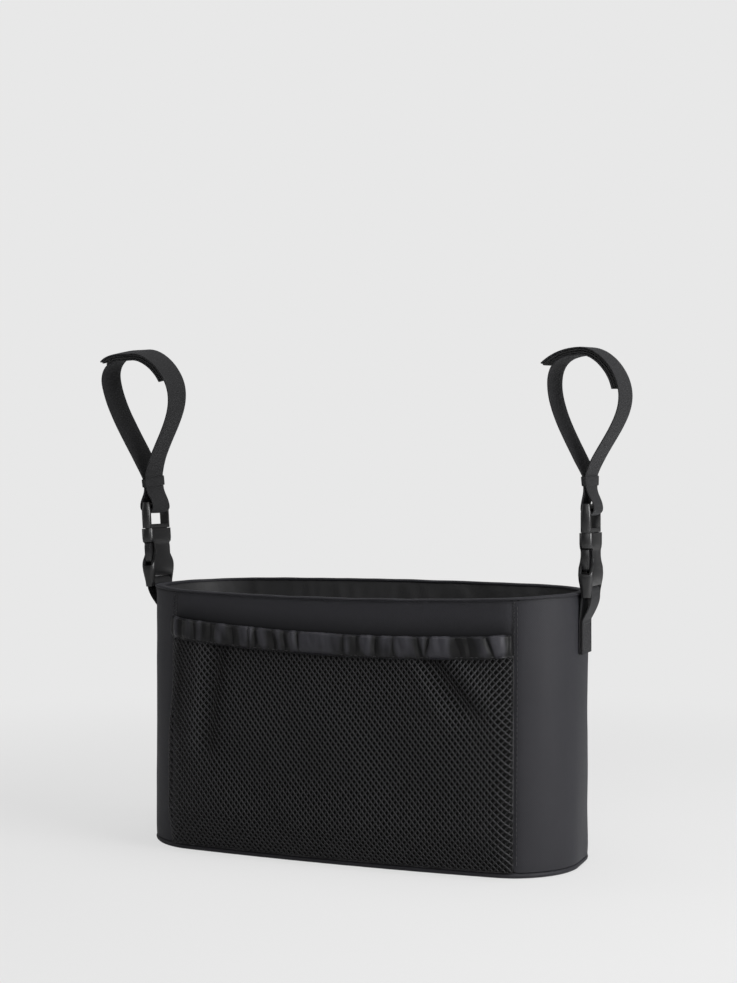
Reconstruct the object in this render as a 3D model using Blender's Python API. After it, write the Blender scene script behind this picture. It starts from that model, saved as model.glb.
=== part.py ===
# Stroller organizer: a padded fabric caddy with a gathered net pocket and two handlebar straps.
# Metres, +Z up, front towards -Y. The middle of its base is the origin and it stands on z = 0.
import math

import bmesh
import bpy
from mathutils import Matrix, Vector

# Bag body
BODY_LENGTH = 0.314
BODY_DEPTH = 0.107
BODY_HEIGHT = 0.184
CORNER_RADIUS = 0.044
BASE_BOW = 0.0082
FRONT_RIM_SAG = 0.0047
BACK_RIM_RISE = 0.0025
SEAM_REACH = 0.0115
GAP = 0.0003
CORNER_STEPS = 10
STRAIGHT_STEPS = 10

# Layers of the wall and the base, from the outside in
SHELL_THICKNESS = 0.0010
PADDING_THICKNESS = 0.0030
LINING_THICKNESS = 0.0007
BOARD_THICKNESS = 0.0020
TUCK_DEPTH = 0.0008
TUCK_HEIGHT = 0.012
PIPING_HEIGHT = 0.0038
PIPING_WIDTH = 0.0036
PIPING_SETBACK = 0.0001
PIPING_SIDES = 8
BINDING_THICKNESS = 0.0006
BINDING_HEIGHT = 0.0032

# Net pocket on the front
POCKET_FULLNESS = 0.0100
POCKET_MOUTH = 0.0068
POCKET_SIDE_RISE = 0.020
POCKET_BELLY_RISE = 0.006
POCKET_BASE_RISE = 0.030
POCKET_SIDE_POWER = 0.8
POCKET_DRAW_START = 0.55
NET_THICKNESS = 0.0010
NET_COLUMNS = 11
NET_ROWS = 6
NET_STRAND_HALF = 0.0024
NET_RIDGE = 0.0009
HEM_HEIGHT = 0.0150
HEM_LEFT_DROP = 0.0202
HEM_MIDDLE_DROP = 0.0280
HEM_RIGHT_DROP = 0.0253
HEM_CLOTH = 0.0007
HEM_ROLL_SHARE = 0.04
HEM_FRONT_SHARES = (0.88, 0.5, 0.12)
HEM_FOLD_DEPTH = 0.0024
HEM_FOLD_COUNT = 22
HEM_STATIONS = 94
HEM_WANDER = 0.9
HEM_WANDER_WAVES = 5.1
HEM_JITTER = 0.5
HEM_JITTER_WAVES = 13.7
HEM_SLANT = 0.5
HEM_SWELL = 0.25
HEM_SWELL_WAVES = 9.3
HEM_CREASE_POWER = 0.7
HEM_EDGE_SHARE = 0.125
HEM_CALM_MIDDLE = -0.006
HEM_CALM_REACH = 0.016
HEM_CALM = 0.85
ELASTIC_HEIGHT = 0.0100
ELASTIC_THICKNESS = 0.0012

# Webbing and its tapes
WEBBING_WIDTH = 0.025
WEBBING_THICKNESS = 0.0013
TAPE_WIDTH = 0.022
HOOK_THICKNESS = 0.0010
PILE_THICKNESS = 0.0012
TAB_FOOT_DROP = 0.041
TAB_SEAM_DROP = 0.019
KEEPER_BOTTOM = 0.0713
KEEPER_HEIGHT = 0.0065
KEEPER_THICKNESS = 0.0006
BAR_LOOP_HALF = 0.0052
BAR_LOOP_RISE = 0.0022
LEG_STEPS = 9
TOP_STEPS = 10
FREE_STEPS = 8
CORNER_STEPS = 7
BAR_LOOP_STEPS = 5
WRAP_STEPS = 12

# Side-release buckle for the webbing, measured up from its lower bar
BAR_RADIUS = 0.0020
MOULDED_ROUND = 0.62
SOCKET_LENGTH = 0.0398
SOCKET_FOOT = 0.0030
SOCKET_FACE_BOTTOM = 0.0046
SOCKET_LOBE_HALF = 0.0156
SOCKET_BELLY_HALF = 0.0168
SOCKET_WAIST_HALF = 0.0148
SOCKET_COLLAR_HALF = 0.0156
SOCKET_LOBE_DEPTH = 0.0062
SOCKET_BELLY_DEPTH = 0.0106
SOCKET_WAIST_DEPTH = 0.0086
SOCKET_COLLAR_DEPTH = 0.0092
BELLY_HEIGHT = 0.0120
WAIST_HEIGHT = 0.0280
COLLAR_HEIGHT = 0.0325
CAVITY_HALF = 0.0131
CAVITY_DEPTH = 0.0056
CAVITY_FLOOR = 0.0100
WINDOW_TOP = 0.0298
WINDOW_DEEPEST = 0.0235
WINDOW_BOTTOM = 0.0090
WINDOW_REACH = 0.0102
SLOT_SIDE_CLEARANCE = 0.0005
FORK_THICKNESS = 0.0046
FORK_CLEARANCE = 0.0005
TONGUE_HALF = 0.0030
ARM_TIP = 0.0142
TIP_CLEARANCE = 0.0018
LATCH_CLEARANCE = 0.0009
PAD_ROUND = 0.0006
PAD_SHOULDER = 0.0026
PAD_LENGTH = 0.0076
ARM_TIP_WIDTH = 0.0050
ARM_TIP_ROUND = 0.0022
ARM_TIP_LENGTH = 0.0052
ARM_ROOT_WIDTH = 0.0026
ARM_ROOT_RISE = 0.0025
ROOT_FILLET = 0.0012
TONGUE_TAPER = 0.0004
TONGUE_POINT = 0.0016
PLUG_HEAD_HEIGHT = 0.0192
PLUG_HEAD_HALF = 0.0157
PLUG_HEAD_DEPTH = 0.0072
PLUG_HEAD_EDGE = 0.0015
PLUG_TAPER_LENGTH = 0.0060
PLUG_TAPER = 0.0009
PLUG_WINDOW_BOTTOM = 0.0430

# The two ends: bar's distance out from the end wall, lean of the buckle, twist and forward lean
# of the loop, and its outline from the keeper's top: the outer layer's shoulder, top and free
# tip, the inner layer's shoulder, how steeply each leg starts and where the inner layer ends
LEFT_END = {
    "side": -1,
    "bar_outset": 0.0097,
    "buckle_lean": math.radians(-3.5),
    "twist": math.radians(-3.6),
    "forward_lean": math.radians(11),
    "shoulder": (0.0313, 0.0631),
    "top": (0.0042, 0.0942),
    "tip": (-0.0226, 0.0904),
    "inner_shoulder": (-0.0239, 0.0738),
    "outer_leg_angle": math.radians(78),
    "inner_leg_angle": math.radians(74),
    "inner_end_step": 3,
}
RIGHT_END = {
    "side": 1,
    "bar_outset": 0.0055,
    "buckle_lean": math.radians(0),
    "twist": math.radians(-8),
    "forward_lean": math.radians(3),
    "shoulder": (0.0272, 0.0540),
    "top": (0.0001, 0.0860),
    "tip": (-0.0274, 0.0764),
    "inner_shoulder": (-0.0230, 0.0609),
    "outer_leg_angle": math.radians(72),
    "inner_leg_angle": math.radians(68),
    "inner_end_step": 2,
}
TIP_DIP = math.radians(40)
LEG_HANDLE = 0.31
TOP_HANDLE = 0.50
FREE_HANDLE = 0.35
CORNER_HANDLE = 0.42
LEAVE_STEP = 3
PILE_CORNER_STEPS = 3
TAPE_INSET = 0.0015
LEAN_START = 0.060
LEAN_END = 0.088

# Values worked out from the ones above
HALF_LENGTH = BODY_LENGTH / 2
HALF_DEPTH = BODY_DEPTH / 2
CORNER_X = HALF_LENGTH - CORNER_RADIUS
CORNER_Y = HALF_DEPTH - CORNER_RADIUS
SEAM_HALF_SPAN = CORNER_X + SEAM_REACH
SEAM_ANGLE = math.asin(SEAM_REACH / CORNER_RADIUS)
SEAM_GAP_ANGLE = GAP / 2 / CORNER_RADIUS
PADDING_OFFSET = -(SHELL_THICKNESS + GAP)
LINING_OFFSET = PADDING_OFFSET - PADDING_THICKNESS - GAP
LINING_INSIDE = LINING_OFFSET - LINING_THICKNESS
BASE_OFFSET = -(PIPING_SETBACK + PIPING_WIDTH + GAP)
WALL_BOTTOM = PIPING_HEIGHT + GAP
BOARD_BOTTOM = SHELL_THICKNESS + GAP
FLOOR_BOTTOM = BOARD_BOTTOM + BOARD_THICKNESS + GAP
FLOOR_TOP = FLOOR_BOTTOM + LINING_THICKNESS
RIM_COVER = BINDING_THICKNESS + GAP
WRAP_RADIUS = BAR_RADIUS + GAP + WEBBING_THICKNESS / 2
PLUG_SHOULDER = SOCKET_LENGTH + GAP
PLUG_TOP = PLUG_SHOULDER + PLUG_HEAD_HEIGHT
PLUG_BAR_HEIGHT = PLUG_TOP - BAR_RADIUS - GAP
LAYER_HALF = (WEBBING_THICKNESS + GAP) / 2
LAYER_SPACING = WEBBING_THICKNESS + HOOK_THICKNESS + PILE_THICKNESS + 3 * GAP
KEEPER_TOP = KEEPER_BOTTOM + KEEPER_HEIGHT
SLOT_HALF = WEBBING_WIDTH / 2 + SLOT_SIDE_CLEARANCE
HEM_LEFT_TOP = BODY_HEIGHT - HEM_LEFT_DROP
HEM_MIDDLE_TOP = BODY_HEIGHT - HEM_MIDDLE_DROP
HEM_RIGHT_TOP = BODY_HEIGHT - HEM_RIGHT_DROP
TAB_FOOT_HEIGHT = BODY_HEIGHT - TAB_FOOT_DROP
TAB_SEAM_TOP = BODY_HEIGHT - TAB_SEAM_DROP
BAR_HEIGHT = BODY_HEIGHT
NET_FLAT_HEIGHT = HEM_MIDDLE_TOP - HEM_HEIGHT - WALL_BOTTOM - 2 * GAP


def clear_scene():
    """Remove every object that the scene starts with."""
    for item in list(bpy.data.objects):
        bpy.data.objects.remove(item, do_unlink=True)


# Materials
def plain_material(name, colour, roughness, metallic=0.0):
    """A Principled BSDF of one colour."""
    material = bpy.data.materials.new(name)
    material.use_nodes = True
    shader = material.node_tree.nodes["Principled BSDF"]
    shader.inputs["Base Color"].default_value = (*colour, 1.0)
    shader.inputs["Roughness"].default_value = roughness
    shader.inputs["Metallic"].default_value = metallic
    return material


def make_materials():
    """One material for each kind of surface."""
    return {
        "shell": plain_material("coated_cloth", (0.030, 0.030, 0.034), 0.62),
        "lining": plain_material("lining_cloth", (0.022, 0.022, 0.022), 0.70),
        "foam": plain_material("foam", (0.12, 0.12, 0.12), 0.90),
        "board": plain_material("board", (0.05, 0.05, 0.05), 0.60),
        "net": plain_material("net", (0.016, 0.016, 0.017), 0.75),
        "hem": plain_material("hem_cloth", (0.024, 0.024, 0.027), 0.60),
        "elastic": plain_material("elastic", (0.02, 0.02, 0.02), 0.80),
        "webbing": plain_material("webbing", (0.026, 0.026, 0.027), 0.78),
        "tape": plain_material("hook_and_pile", (0.018, 0.018, 0.018), 0.90),
        "plastic": plain_material("acetal", (0.020, 0.020, 0.021), 0.38),
    }


# Mesh helpers
def object_from_bmesh(name, mesh_data, material, parent=None):
    """Turn a bmesh into a named object with its material."""
    bmesh.ops.recalc_face_normals(mesh_data, faces=mesh_data.faces)
    mesh = bpy.data.meshes.new(name)
    mesh_data.to_mesh(mesh)
    mesh_data.free()
    mesh.materials.append(material)
    item = bpy.data.objects.new(name, mesh)
    bpy.context.scene.collection.objects.link(item)
    item.parent = parent
    return item


def smooth(item, angle=40):
    """Shade smooth, with the edges sharper than the angle kept."""
    item.data.shade_smooth()
    item.data.set_sharp_from_angle(angle=math.radians(angle))


def bridge_sections(mesh_data, sections, closed):
    """Join a row of equal sections with faces, and cap the two ends of an open row."""
    rows = [[mesh_data.verts.new(point) for point in section] for section in sections]
    pairs = list(zip(rows, rows[1:]))
    if closed:
        pairs.append((rows[-1], rows[0]))
    for lower, upper in pairs:
        count = len(lower)
        for index in range(count):
            following = (index + 1) % count
            corners = (lower[index], lower[following], upper[following], upper[index])
            mesh_data.faces.new(corners)
    if not closed:
        mesh_data.faces.new(rows[0])
        mesh_data.faces.new(rows[-1])


def sweep(name, sections, material, closed=False, parent=None, angle=40):
    """A solid made of sections along a path."""
    mesh_data = bmesh.new()
    bridge_sections(mesh_data, sections, closed)
    item = object_from_bmesh(name, mesh_data, material, parent)
    smooth(item, angle)
    return item


def prism(name, outline, half_depth, material, parent=None):
    """An outline in the buckle's own plane, extruded through its thickness."""
    mesh_data = bmesh.new()
    corners = [mesh_data.verts.new((-half_depth, across, up)) for across, up in outline]
    face = mesh_data.faces.new(corners)
    grown = bmesh.ops.extrude_face_region(mesh_data, geom=[face])
    moved = [part for part in grown["geom"] if isinstance(part, bmesh.types.BMVert)]
    bmesh.ops.translate(mesh_data, verts=moved, vec=(2 * half_depth, 0, 0))
    return object_from_bmesh(name, mesh_data, material, parent)


def box(name, low, high, material, parent=None):
    """A plain box between two corners."""
    mesh_data = bmesh.new()
    bmesh.ops.create_cube(mesh_data, size=1.0)
    size = Vector(high) - Vector(low)
    middle = (Vector(high) + Vector(low)) / 2
    bmesh.ops.scale(mesh_data, vec=size, verts=mesh_data.verts)
    bmesh.ops.translate(mesh_data, vec=middle, verts=mesh_data.verts)
    return object_from_bmesh(name, mesh_data, material, parent)


def bar(name, height, half_span, material, parent=None):
    """A round bar across the buckle."""
    mesh_data = bmesh.new()
    turn = Matrix.Rotation(math.radians(90), 4, "X")
    place = Matrix.Translation((0, 0, height)) @ turn
    bmesh.ops.create_cone(
        mesh_data,
        cap_ends=True,
        segments=16,
        radius1=BAR_RADIUS,
        radius2=BAR_RADIUS,
        depth=2 * half_span,
        matrix=place,
    )
    return object_from_bmesh(name, mesh_data, material, parent)


def combine(item, tool, operation):
    """Cut the tool out of the item, or join it on, with the tool kept as a hidden guide."""
    tool.display_type = "WIRE"
    tool.hide_render = True
    modifier = item.modifiers.new(tool.name, "BOOLEAN")
    modifier.operation = operation
    modifier.solver = "EXACT"
    modifier.object = tool


def blend(start, end, share):
    """Ease from one value to another."""
    share = min(1.0, max(0.0, share))
    return start + (end - start) * share * share * (3 - 2 * share)


# The body's plan
def corner_arc(side_x, side_y, start, end, steps):
    """Stations round one corner, each a corner centre and an angle."""
    angles = [start + (end - start) * step / steps for step in range(steps + 1)]
    return [(side_x * CORNER_X, side_y * CORNER_Y, angle) for angle in angles]


def straight_run(side_y, angle):
    """Stations along the front or the back, between two corners."""
    shares = [step / STRAIGHT_STEPS for step in range(1, STRAIGHT_STEPS)]
    run = [(CORNER_X * (2 * share - 1), -CORNER_Y, angle) for share in shares]
    if side_y > 0:
        run = [(-across, CORNER_Y, angle) for across, depth, angle in run]
    return run


def turn_station(station):
    """The same station on the opposite side of the body."""
    across, depth, angle = station
    return (-across, -depth, angle + math.pi)


def front_stations(seam_gap):
    """Stations of the front wall from its left seam to its right seam."""
    facing = -math.pi / 2
    reach = SEAM_ANGLE - seam_gap
    steps = max(2, round(CORNER_STEPS * SEAM_ANGLE / (math.pi / 2)) + 1)
    left = corner_arc(-1, -1, facing - reach, facing, steps)
    right = corner_arc(1, -1, facing, facing + reach, steps)
    return left + straight_run(-1, facing) + right


def right_stations(seam_gap):
    """Stations of the right end wall from the front seam to the back seam."""
    reach = SEAM_ANGLE + seam_gap
    front = corner_arc(1, -1, -math.pi / 2 + reach, 0, CORNER_STEPS - 2)
    back = corner_arc(1, 1, 0, math.pi / 2 - reach, CORNER_STEPS - 2)
    return front + back


def ring_stations():
    """Stations all the way round, with one at each seam."""
    half = front_stations(0) + right_stations(0)[1:-1]
    return half + [turn_station(station) for station in half]


def length_share(x):
    """1 in the middle of the length and 0 at the ends."""
    return max(0.0, 1 - (x / HALF_LENGTH) ** 2)


def wall_point(station, offset, height):
    """A point on the wall, offset outwards from its outer face."""
    centre_x, centre_y, angle = station
    tuck = TUCK_DEPTH * max(0.0, 1 - height / TUCK_HEIGHT) ** 2
    reach = CORNER_RADIUS + offset - tuck
    x = centre_x + reach * math.cos(angle)
    y = centre_y + reach * math.sin(angle)
    depth_share = y / (CORNER_Y + reach)
    bow = BASE_BOW * (1 - height / BODY_HEIGHT) * length_share(x)
    return Vector((x, y + bow * depth_share, height))


def rim_height(station):
    """Height of the mouth's edge: lower along the front and a little higher along the back."""
    point = wall_point(station, 0, BODY_HEIGHT)
    share = length_share(point.x) * abs(point.y) / HALF_DEPTH
    change = -FRONT_RIM_SAG if point.y < 0 else BACK_RIM_RISE
    return BODY_HEIGHT + change * share


# Wall panels, pads and lining
def wall_layer(name, stations, offset, bottom, thickness, material, closed=False):
    """One layer of the wall, from its bottom edge up to the rim, as thick as its cloth or foam."""
    mesh_data = bmesh.new()
    outer = []
    inner = []
    for station in stations:
        heights = (bottom, TUCK_HEIGHT, rim_height(station) - RIM_COVER)
        for rows, depth in ((outer, offset), (inner, offset - thickness)):
            points = [wall_point(station, depth, height) for height in heights]
            rows.append([mesh_data.verts.new(point) for point in points])
    last = len(stations) if closed else len(stations) - 1
    for here in range(last):
        there = (here + 1) % len(stations)
        for rows in (outer, inner):
            fill_wall_strip(mesh_data, rows[here], rows[there])
        for level in (0, -1):
            corners = (outer[here], outer[there], inner[there], inner[here])
            mesh_data.faces.new([row[level] for row in corners])
    if not closed:
        for end in (0, -1):
            mesh_data.faces.new(outer[end] + inner[end][::-1])
    item = object_from_bmesh(name, mesh_data, material)
    smooth(item)
    return item


def fill_wall_strip(mesh_data, left, right):
    """Triangles between two upright rows, split alike on every layer so that the gaps stay even."""
    for level in range(len(left) - 1):
        mesh_data.faces.new((left[level], right[level], right[level + 1]))
        mesh_data.faces.new((left[level], right[level + 1], left[level + 1]))


def make_wall_layers(materials):
    """Outer panels, each with its own pad behind it, and the lining inside."""
    front = front_stations(SEAM_GAP_ANGLE)
    right = right_stations(SEAM_GAP_ANGLE)
    runs = {
        "front": front,
        "right_end": right,
        "back": [turn_station(station) for station in front],
        "left_end": [turn_station(station) for station in right],
    }
    for place, stations in runs.items():
        wall_layer(
            place + "_panel", stations, 0, WALL_BOTTOM, SHELL_THICKNESS, materials["shell"]
        )
        wall_layer(
            place + "_padding",
            stations,
            PADDING_OFFSET,
            WALL_BOTTOM,
            PADDING_THICKNESS,
            materials["foam"],
        )
    wall_layer(
        "lining_wall",
        ring_stations(),
        LINING_OFFSET,
        FLOOR_TOP + GAP,
        LINING_THICKNESS,
        materials["lining"],
        closed=True,
    )


def flat_layer(name, offset, bottom, thickness, material):
    """One flat layer of the base, with the outline of the wall's foot."""
    outline = [wall_point(station, offset, 0) for station in ring_stations()]
    lower = [Vector((point.x, point.y, bottom)) for point in outline]
    upper = [Vector((point.x, point.y, bottom + thickness)) for point in outline]
    return sweep(name, [lower, upper], material, angle=30)


def make_base(materials):
    """Outer base cloth, stiffening board and the floor of the lining."""
    tucked = TUCK_DEPTH
    flat_layer("base_panel", BASE_OFFSET + tucked, 0, SHELL_THICKNESS, materials["shell"])
    flat_layer(
        "base_board", BASE_OFFSET + tucked, BOARD_BOTTOM, BOARD_THICKNESS, materials["board"]
    )
    flat_layer("lining_floor", LINING_OFFSET, FLOOR_BOTTOM, LINING_THICKNESS, materials["lining"])


def make_base_piping(material):
    """Covered cord lying in the seam between the base and the walls."""
    centre_offset = -(PIPING_SETBACK + PIPING_WIDTH / 2) + TUCK_DEPTH
    half_side = math.pi / PIPING_SIDES
    flat_share = math.cos(half_side)
    sections = []
    for station in ring_stations():
        section = []
        for step in range(PIPING_SIDES):
            turn = half_side * (1 + 2 * step)
            offset = centre_offset + PIPING_WIDTH / 2 * math.cos(turn) / flat_share
            height = PIPING_HEIGHT / 2 * (1 + math.sin(turn) / flat_share)
            place = wall_point(station, offset, 0)
            section.append(Vector((place.x, place.y, height)))
        sections.append(section)
    return sweep("base_piping", sections, material, closed=True, angle=60)


def make_rim_binding(material):
    """Folded tape that covers the edges of all the layers round the mouth."""
    outer_face = GAP + BINDING_THICKNESS
    inner_face = LINING_INSIDE - GAP - BINDING_THICKNESS
    profile = (
        (outer_face, -BINDING_HEIGHT),
        (outer_face, -BINDING_THICKNESS / 2),
        (GAP, 0),
        (LINING_INSIDE - GAP, 0),
        (inner_face, -BINDING_THICKNESS / 2),
        (inner_face, -BINDING_HEIGHT),
        (inner_face + BINDING_THICKNESS, -BINDING_HEIGHT),
        (inner_face + BINDING_THICKNESS, -BINDING_THICKNESS),
        (GAP, -BINDING_THICKNESS),
        (GAP, -BINDING_HEIGHT),
    )
    sections = []
    for station in ring_stations():
        top = rim_height(station)
        sections.append([wall_point(station, offset, top + drop) for offset, drop in profile])
    return sweep("rim_binding", sections, material, closed=True, angle=50)


# Net pocket
def hem_top(x):
    """Height of the pocket's mouth, highest at the left seam and lowest near the middle."""
    across = x / SEAM_HALF_SPAN
    rise = (HEM_LEFT_TOP + HEM_RIGHT_TOP) / 2 - HEM_MIDDLE_TOP
    slope = (HEM_RIGHT_TOP - HEM_LEFT_TOP) / 2
    return HEM_MIDDLE_TOP + rise * across * across + slope * across


def front_face(x, height):
    """Y of the front wall's outer face."""
    beyond = max(0.0, abs(x) - CORNER_X)
    depth = CORNER_Y + math.sqrt(CORNER_RADIUS**2 - beyond**2)
    tuck = TUCK_DEPTH * max(0.0, 1 - height / TUCK_HEIGHT) ** 2
    bow = BASE_BOW * (1 - height / BODY_HEIGHT) * length_share(x) * depth / HALF_DEPTH
    return -(depth - tuck + bow)


def side_fullness(x, rise=POCKET_SIDE_RISE):
    """0 at the two seams and 1 away from them, past the rise."""
    from_seam = SEAM_HALF_SPAN - abs(x)
    share = min(1.0, max(0.0, from_seam / rise))
    return math.sin(share * math.pi / 2) ** POCKET_SIDE_POWER


def pocket_standoff(x, height):
    """How far the pocket's inner face stands off the front wall."""
    low_share = min(1.0, max(0.0, (height - WALL_BOTTOM) / POCKET_BASE_RISE))
    low = math.sin(low_share * math.pi / 2)
    hem_bottom = hem_top(x) - HEM_HEIGHT
    draw_start = POCKET_DRAW_START * hem_bottom
    high_share = (height - draw_start) / (hem_bottom - draw_start)
    full = blend(POCKET_FULLNESS, POCKET_MOUTH, high_share)
    rise = blend(POCKET_BELLY_RISE, POCKET_SIDE_RISE, high_share)
    return GAP + full * low * side_fullness(x, rise)


def make_mesh_pocket(material):
    """Net panel: staggered diamond cells with a ridge along every strand."""
    mesh_data = bmesh.new()
    half_span = SEAM_HALF_SPAN - GAP
    row_height = NET_FLAT_HEIGHT / (2 * NET_ROWS)
    verts = {}
    for column in range(2 * NET_COLUMNS + 1):
        for row in range(2 * NET_ROWS + 1):
            on_side = column in (0, 2 * NET_COLUMNS)
            on_end = row in (0, 2 * NET_ROWS)
            if (column + row) % 2 and not (on_side or on_end):
                continue
            across = half_span * (column / NET_COLUMNS - 1)
            verts[column, row] = mesh_data.verts.new((across, row * row_height, 0))
    cells = []
    for column in range(1, 2 * NET_COLUMNS):
        for row in range(1, 2 * NET_ROWS):
            if (column + row) % 2:
                around = ((column - 1, row), (column, row - 1), (column + 1, row), (column, row + 1))
                cells.append(mesh_data.faces.new([verts[key] for key in around]))
    close_net_edges(mesh_data, verts)
    ridge_verts = list(mesh_data.verts)
    mesh_data.normal_update()
    bmesh.ops.inset_individual(mesh_data, faces=cells, thickness=NET_STRAND_HALF)
    bmesh.ops.delete(mesh_data, geom=cells, context="FACES_ONLY")
    place_net_points(mesh_data.verts)
    for vert in ridge_verts:
        if not vert.is_boundary:
            vert.co.y -= NET_RIDGE
    item = object_from_bmesh("mesh_pocket", mesh_data, material)
    if sum(face.normal.y for face in item.data.polygons) > 0:
        item.data.flip_normals()
    solid = item.modifiers.new("net thickness", "SOLIDIFY")
    solid.thickness = NET_THICKNESS
    solid.offset = -1
    return item


def close_net_edges(mesh_data, verts):
    """Fill the half cells along the four edges, where the net is caught in the seams."""
    last_column = 2 * NET_COLUMNS
    last_row = 2 * NET_ROWS
    for row in range(0, last_row, 2):
        for column, inner in ((0, 1), (last_column, last_column - 1)):
            middle = verts[column, row + 1]
            near = verts[inner, row + 1]
            mesh_data.faces.new((verts[column, row], middle, near))
            mesh_data.faces.new((middle, verts[column, row + 2], near))
    for column in range(0, last_column, 2):
        for row, inner in ((0, 1), (last_row, last_row - 1)):
            middle = verts[column + 1, row]
            near = verts[column + 1, inner]
            mesh_data.faces.new((verts[column, row], middle, near))
            mesh_data.faces.new((middle, verts[column + 2, row], near))


def place_net_points(points):
    """Lay the flat pattern on the full shape of the pocket."""
    bottom = WALL_BOTTOM + GAP
    for point in points:
        across = point.co.x
        top = hem_top(across) - HEM_HEIGHT - GAP
        height = bottom + (top - bottom) * point.co.y / NET_FLAT_HEIGHT
        standoff = pocket_standoff(across, height) + NET_THICKNESS
        turn = math.asin(max(0.0, abs(across) - CORNER_X) / CORNER_RADIUS)
        sideways = math.copysign(standoff * math.sin(turn), across)
        depth = front_face(across, height) - standoff * math.cos(turn)
        point.co = (across + sideways, depth, height)


def hem_fold(x, height_share):
    """Depth of the gathers, uneven along the casing and almost flat right of the left third."""
    along = (x / SEAM_HALF_SPAN + 1) / 2
    wander = HEM_WANDER * math.sin(HEM_WANDER_WAVES * along)
    wander += HEM_JITTER * math.sin(HEM_JITTER_WAVES * along)
    phase = 2 * math.pi * HEM_FOLD_COUNT * along + wander + HEM_SLANT * (height_share - 0.5)
    calm = math.exp(-((x - HEM_CALM_MIDDLE) / HEM_CALM_REACH) ** 2)
    swell = 1 - HEM_SWELL + HEM_SWELL * math.sin(HEM_SWELL_WAVES * along)
    edge = min(1.0, along / HEM_EDGE_SHARE, (1 - along) / HEM_EDGE_SHARE)
    sharp = (0.5 + 0.5 * math.cos(phase)) ** HEM_CREASE_POWER
    return sharp * swell * edge * (1 - HEM_CALM * calm)


def hem_stations():
    """X of each section along the casing."""
    half_span = SEAM_HALF_SPAN - GAP
    return [half_span * (2 * step / HEM_STATIONS - 1) for step in range(HEM_STATIONS + 1)]


def make_pocket_hem(material):
    """Gathered casing, open at both ends, with a flat channel for the elastic."""
    channel = ELASTIC_THICKNESS + 2 * GAP
    margin = (HEM_HEIGHT - ELASTIC_HEIGHT) / 2 - GAP
    outer_rows = []
    inner_rows = []
    for x in hem_stations():
        back = hem_back(x)
        middle = back - channel / 2
        front = back - channel - 2 * HEM_CLOTH
        outer = [(back, HEM_ROLL_SHARE), (back, 1 - HEM_ROLL_SHARE), (middle, 1)]
        for share in HEM_FRONT_SHARES:
            outer.append((front - HEM_FOLD_DEPTH * hem_fold(x, share), share))
        outer.append((middle, 0))
        bottom = hem_top(x) - HEM_HEIGHT
        outer_rows.append([Vector((x, y, bottom + HEM_HEIGHT * up)) for y, up in outer])
        near = back - HEM_CLOTH
        inner_rows.append(flat_section(x, near, near - channel, margin))
    return tube("pocket_hem", outer_rows, inner_rows, material, angle=75)


def hem_back(x):
    """Y of the casing's back face."""
    middle_height = hem_top(x) - HEM_HEIGHT / 2
    return front_face(x, middle_height) - GAP - POCKET_MOUTH * side_fullness(x)


def flat_section(x, near, far, margin):
    """A flat upright section inside the casing, a margin in from its top and bottom."""
    low = hem_top(x) - HEM_HEIGHT + margin
    high = hem_top(x) - margin
    return [Vector((x, y, z)) for y, z in ((near, low), (near, high), (far, high), (far, low))]


def tube(name, outer_rows, inner_rows, material, closed=False, parent=None, angle=40):
    """A sleeve between two rows of sections, with an open channel through it."""
    mesh_data = bmesh.new()
    outer = [[mesh_data.verts.new(point) for point in row] for row in outer_rows]
    inner = [[mesh_data.verts.new(point) for point in row] for row in inner_rows]
    for rows in (outer, inner):
        pairs = list(zip(rows, rows[1:]))
        for lower, upper in pairs:
            count = len(lower)
            for index in range(count):
                following = (index + 1) % count
                corners = (lower[index], lower[following], upper[following], upper[index])
                mesh_data.faces.new(corners)
    for end in (0, -1):
        rim = ring_edges(mesh_data, outer[end]) + ring_edges(mesh_data, inner[end])
        bmesh.ops.triangle_fill(mesh_data, edges=rim, use_beauty=True)
    item = object_from_bmesh(name, mesh_data, material, parent)
    smooth(item, angle)
    return item


def ring_edges(mesh_data, ring):
    """The edges of a closed ring of vertices."""
    pairs = zip(ring, ring[1:] + ring[:1])
    return [mesh_data.edges.get(pair) or mesh_data.edges.new(pair) for pair in pairs]


def make_pocket_elastic(material):
    """Flat elastic tape that draws the casing up."""
    margin = (HEM_HEIGHT - ELASTIC_HEIGHT) / 2
    sections = []
    for x in hem_stations()[1:-1:2]:
        near = hem_back(x) - HEM_CLOTH - GAP
        sections.append(flat_section(x, near, near - ELASTIC_THICKNESS, margin))
    return sweep("pocket_elastic", sections, material)


# Webbing paths, in a plane seen from the front: across, up
def arc_points(centre, radius, start, end, steps):
    """Points along an arc."""
    points = []
    for step in range(steps + 1):
        turn = start + (end - start) * step / steps
        across = centre[0] + radius * math.cos(turn)
        up = centre[1] + radius * math.sin(turn)
        points.append(Vector((across, up)))
    return points


def bezier(start, start_handle, end_handle, end, steps):
    """Points along a cubic curve, without its first one."""
    points = []
    for step in range(1, steps + 1):
        share = step / steps
        rest = 1 - share
        near = start * rest**3 + start_handle * (3 * rest**2 * share)
        points.append(near + end_handle * (3 * rest * share**2) + end * share**3)
    return points


def heading(angle):
    """Unit direction at an angle."""
    return Vector((math.cos(angle), math.sin(angle)))


def tangent_angle(point, centre, radius, side):
    """Angle on a circle where a line from the point touches it, on the side given."""
    away = Vector(point) - Vector(centre)
    opening = math.acos(radius / away.length)
    return math.atan2(away.y, away.x) + side * opening


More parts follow.
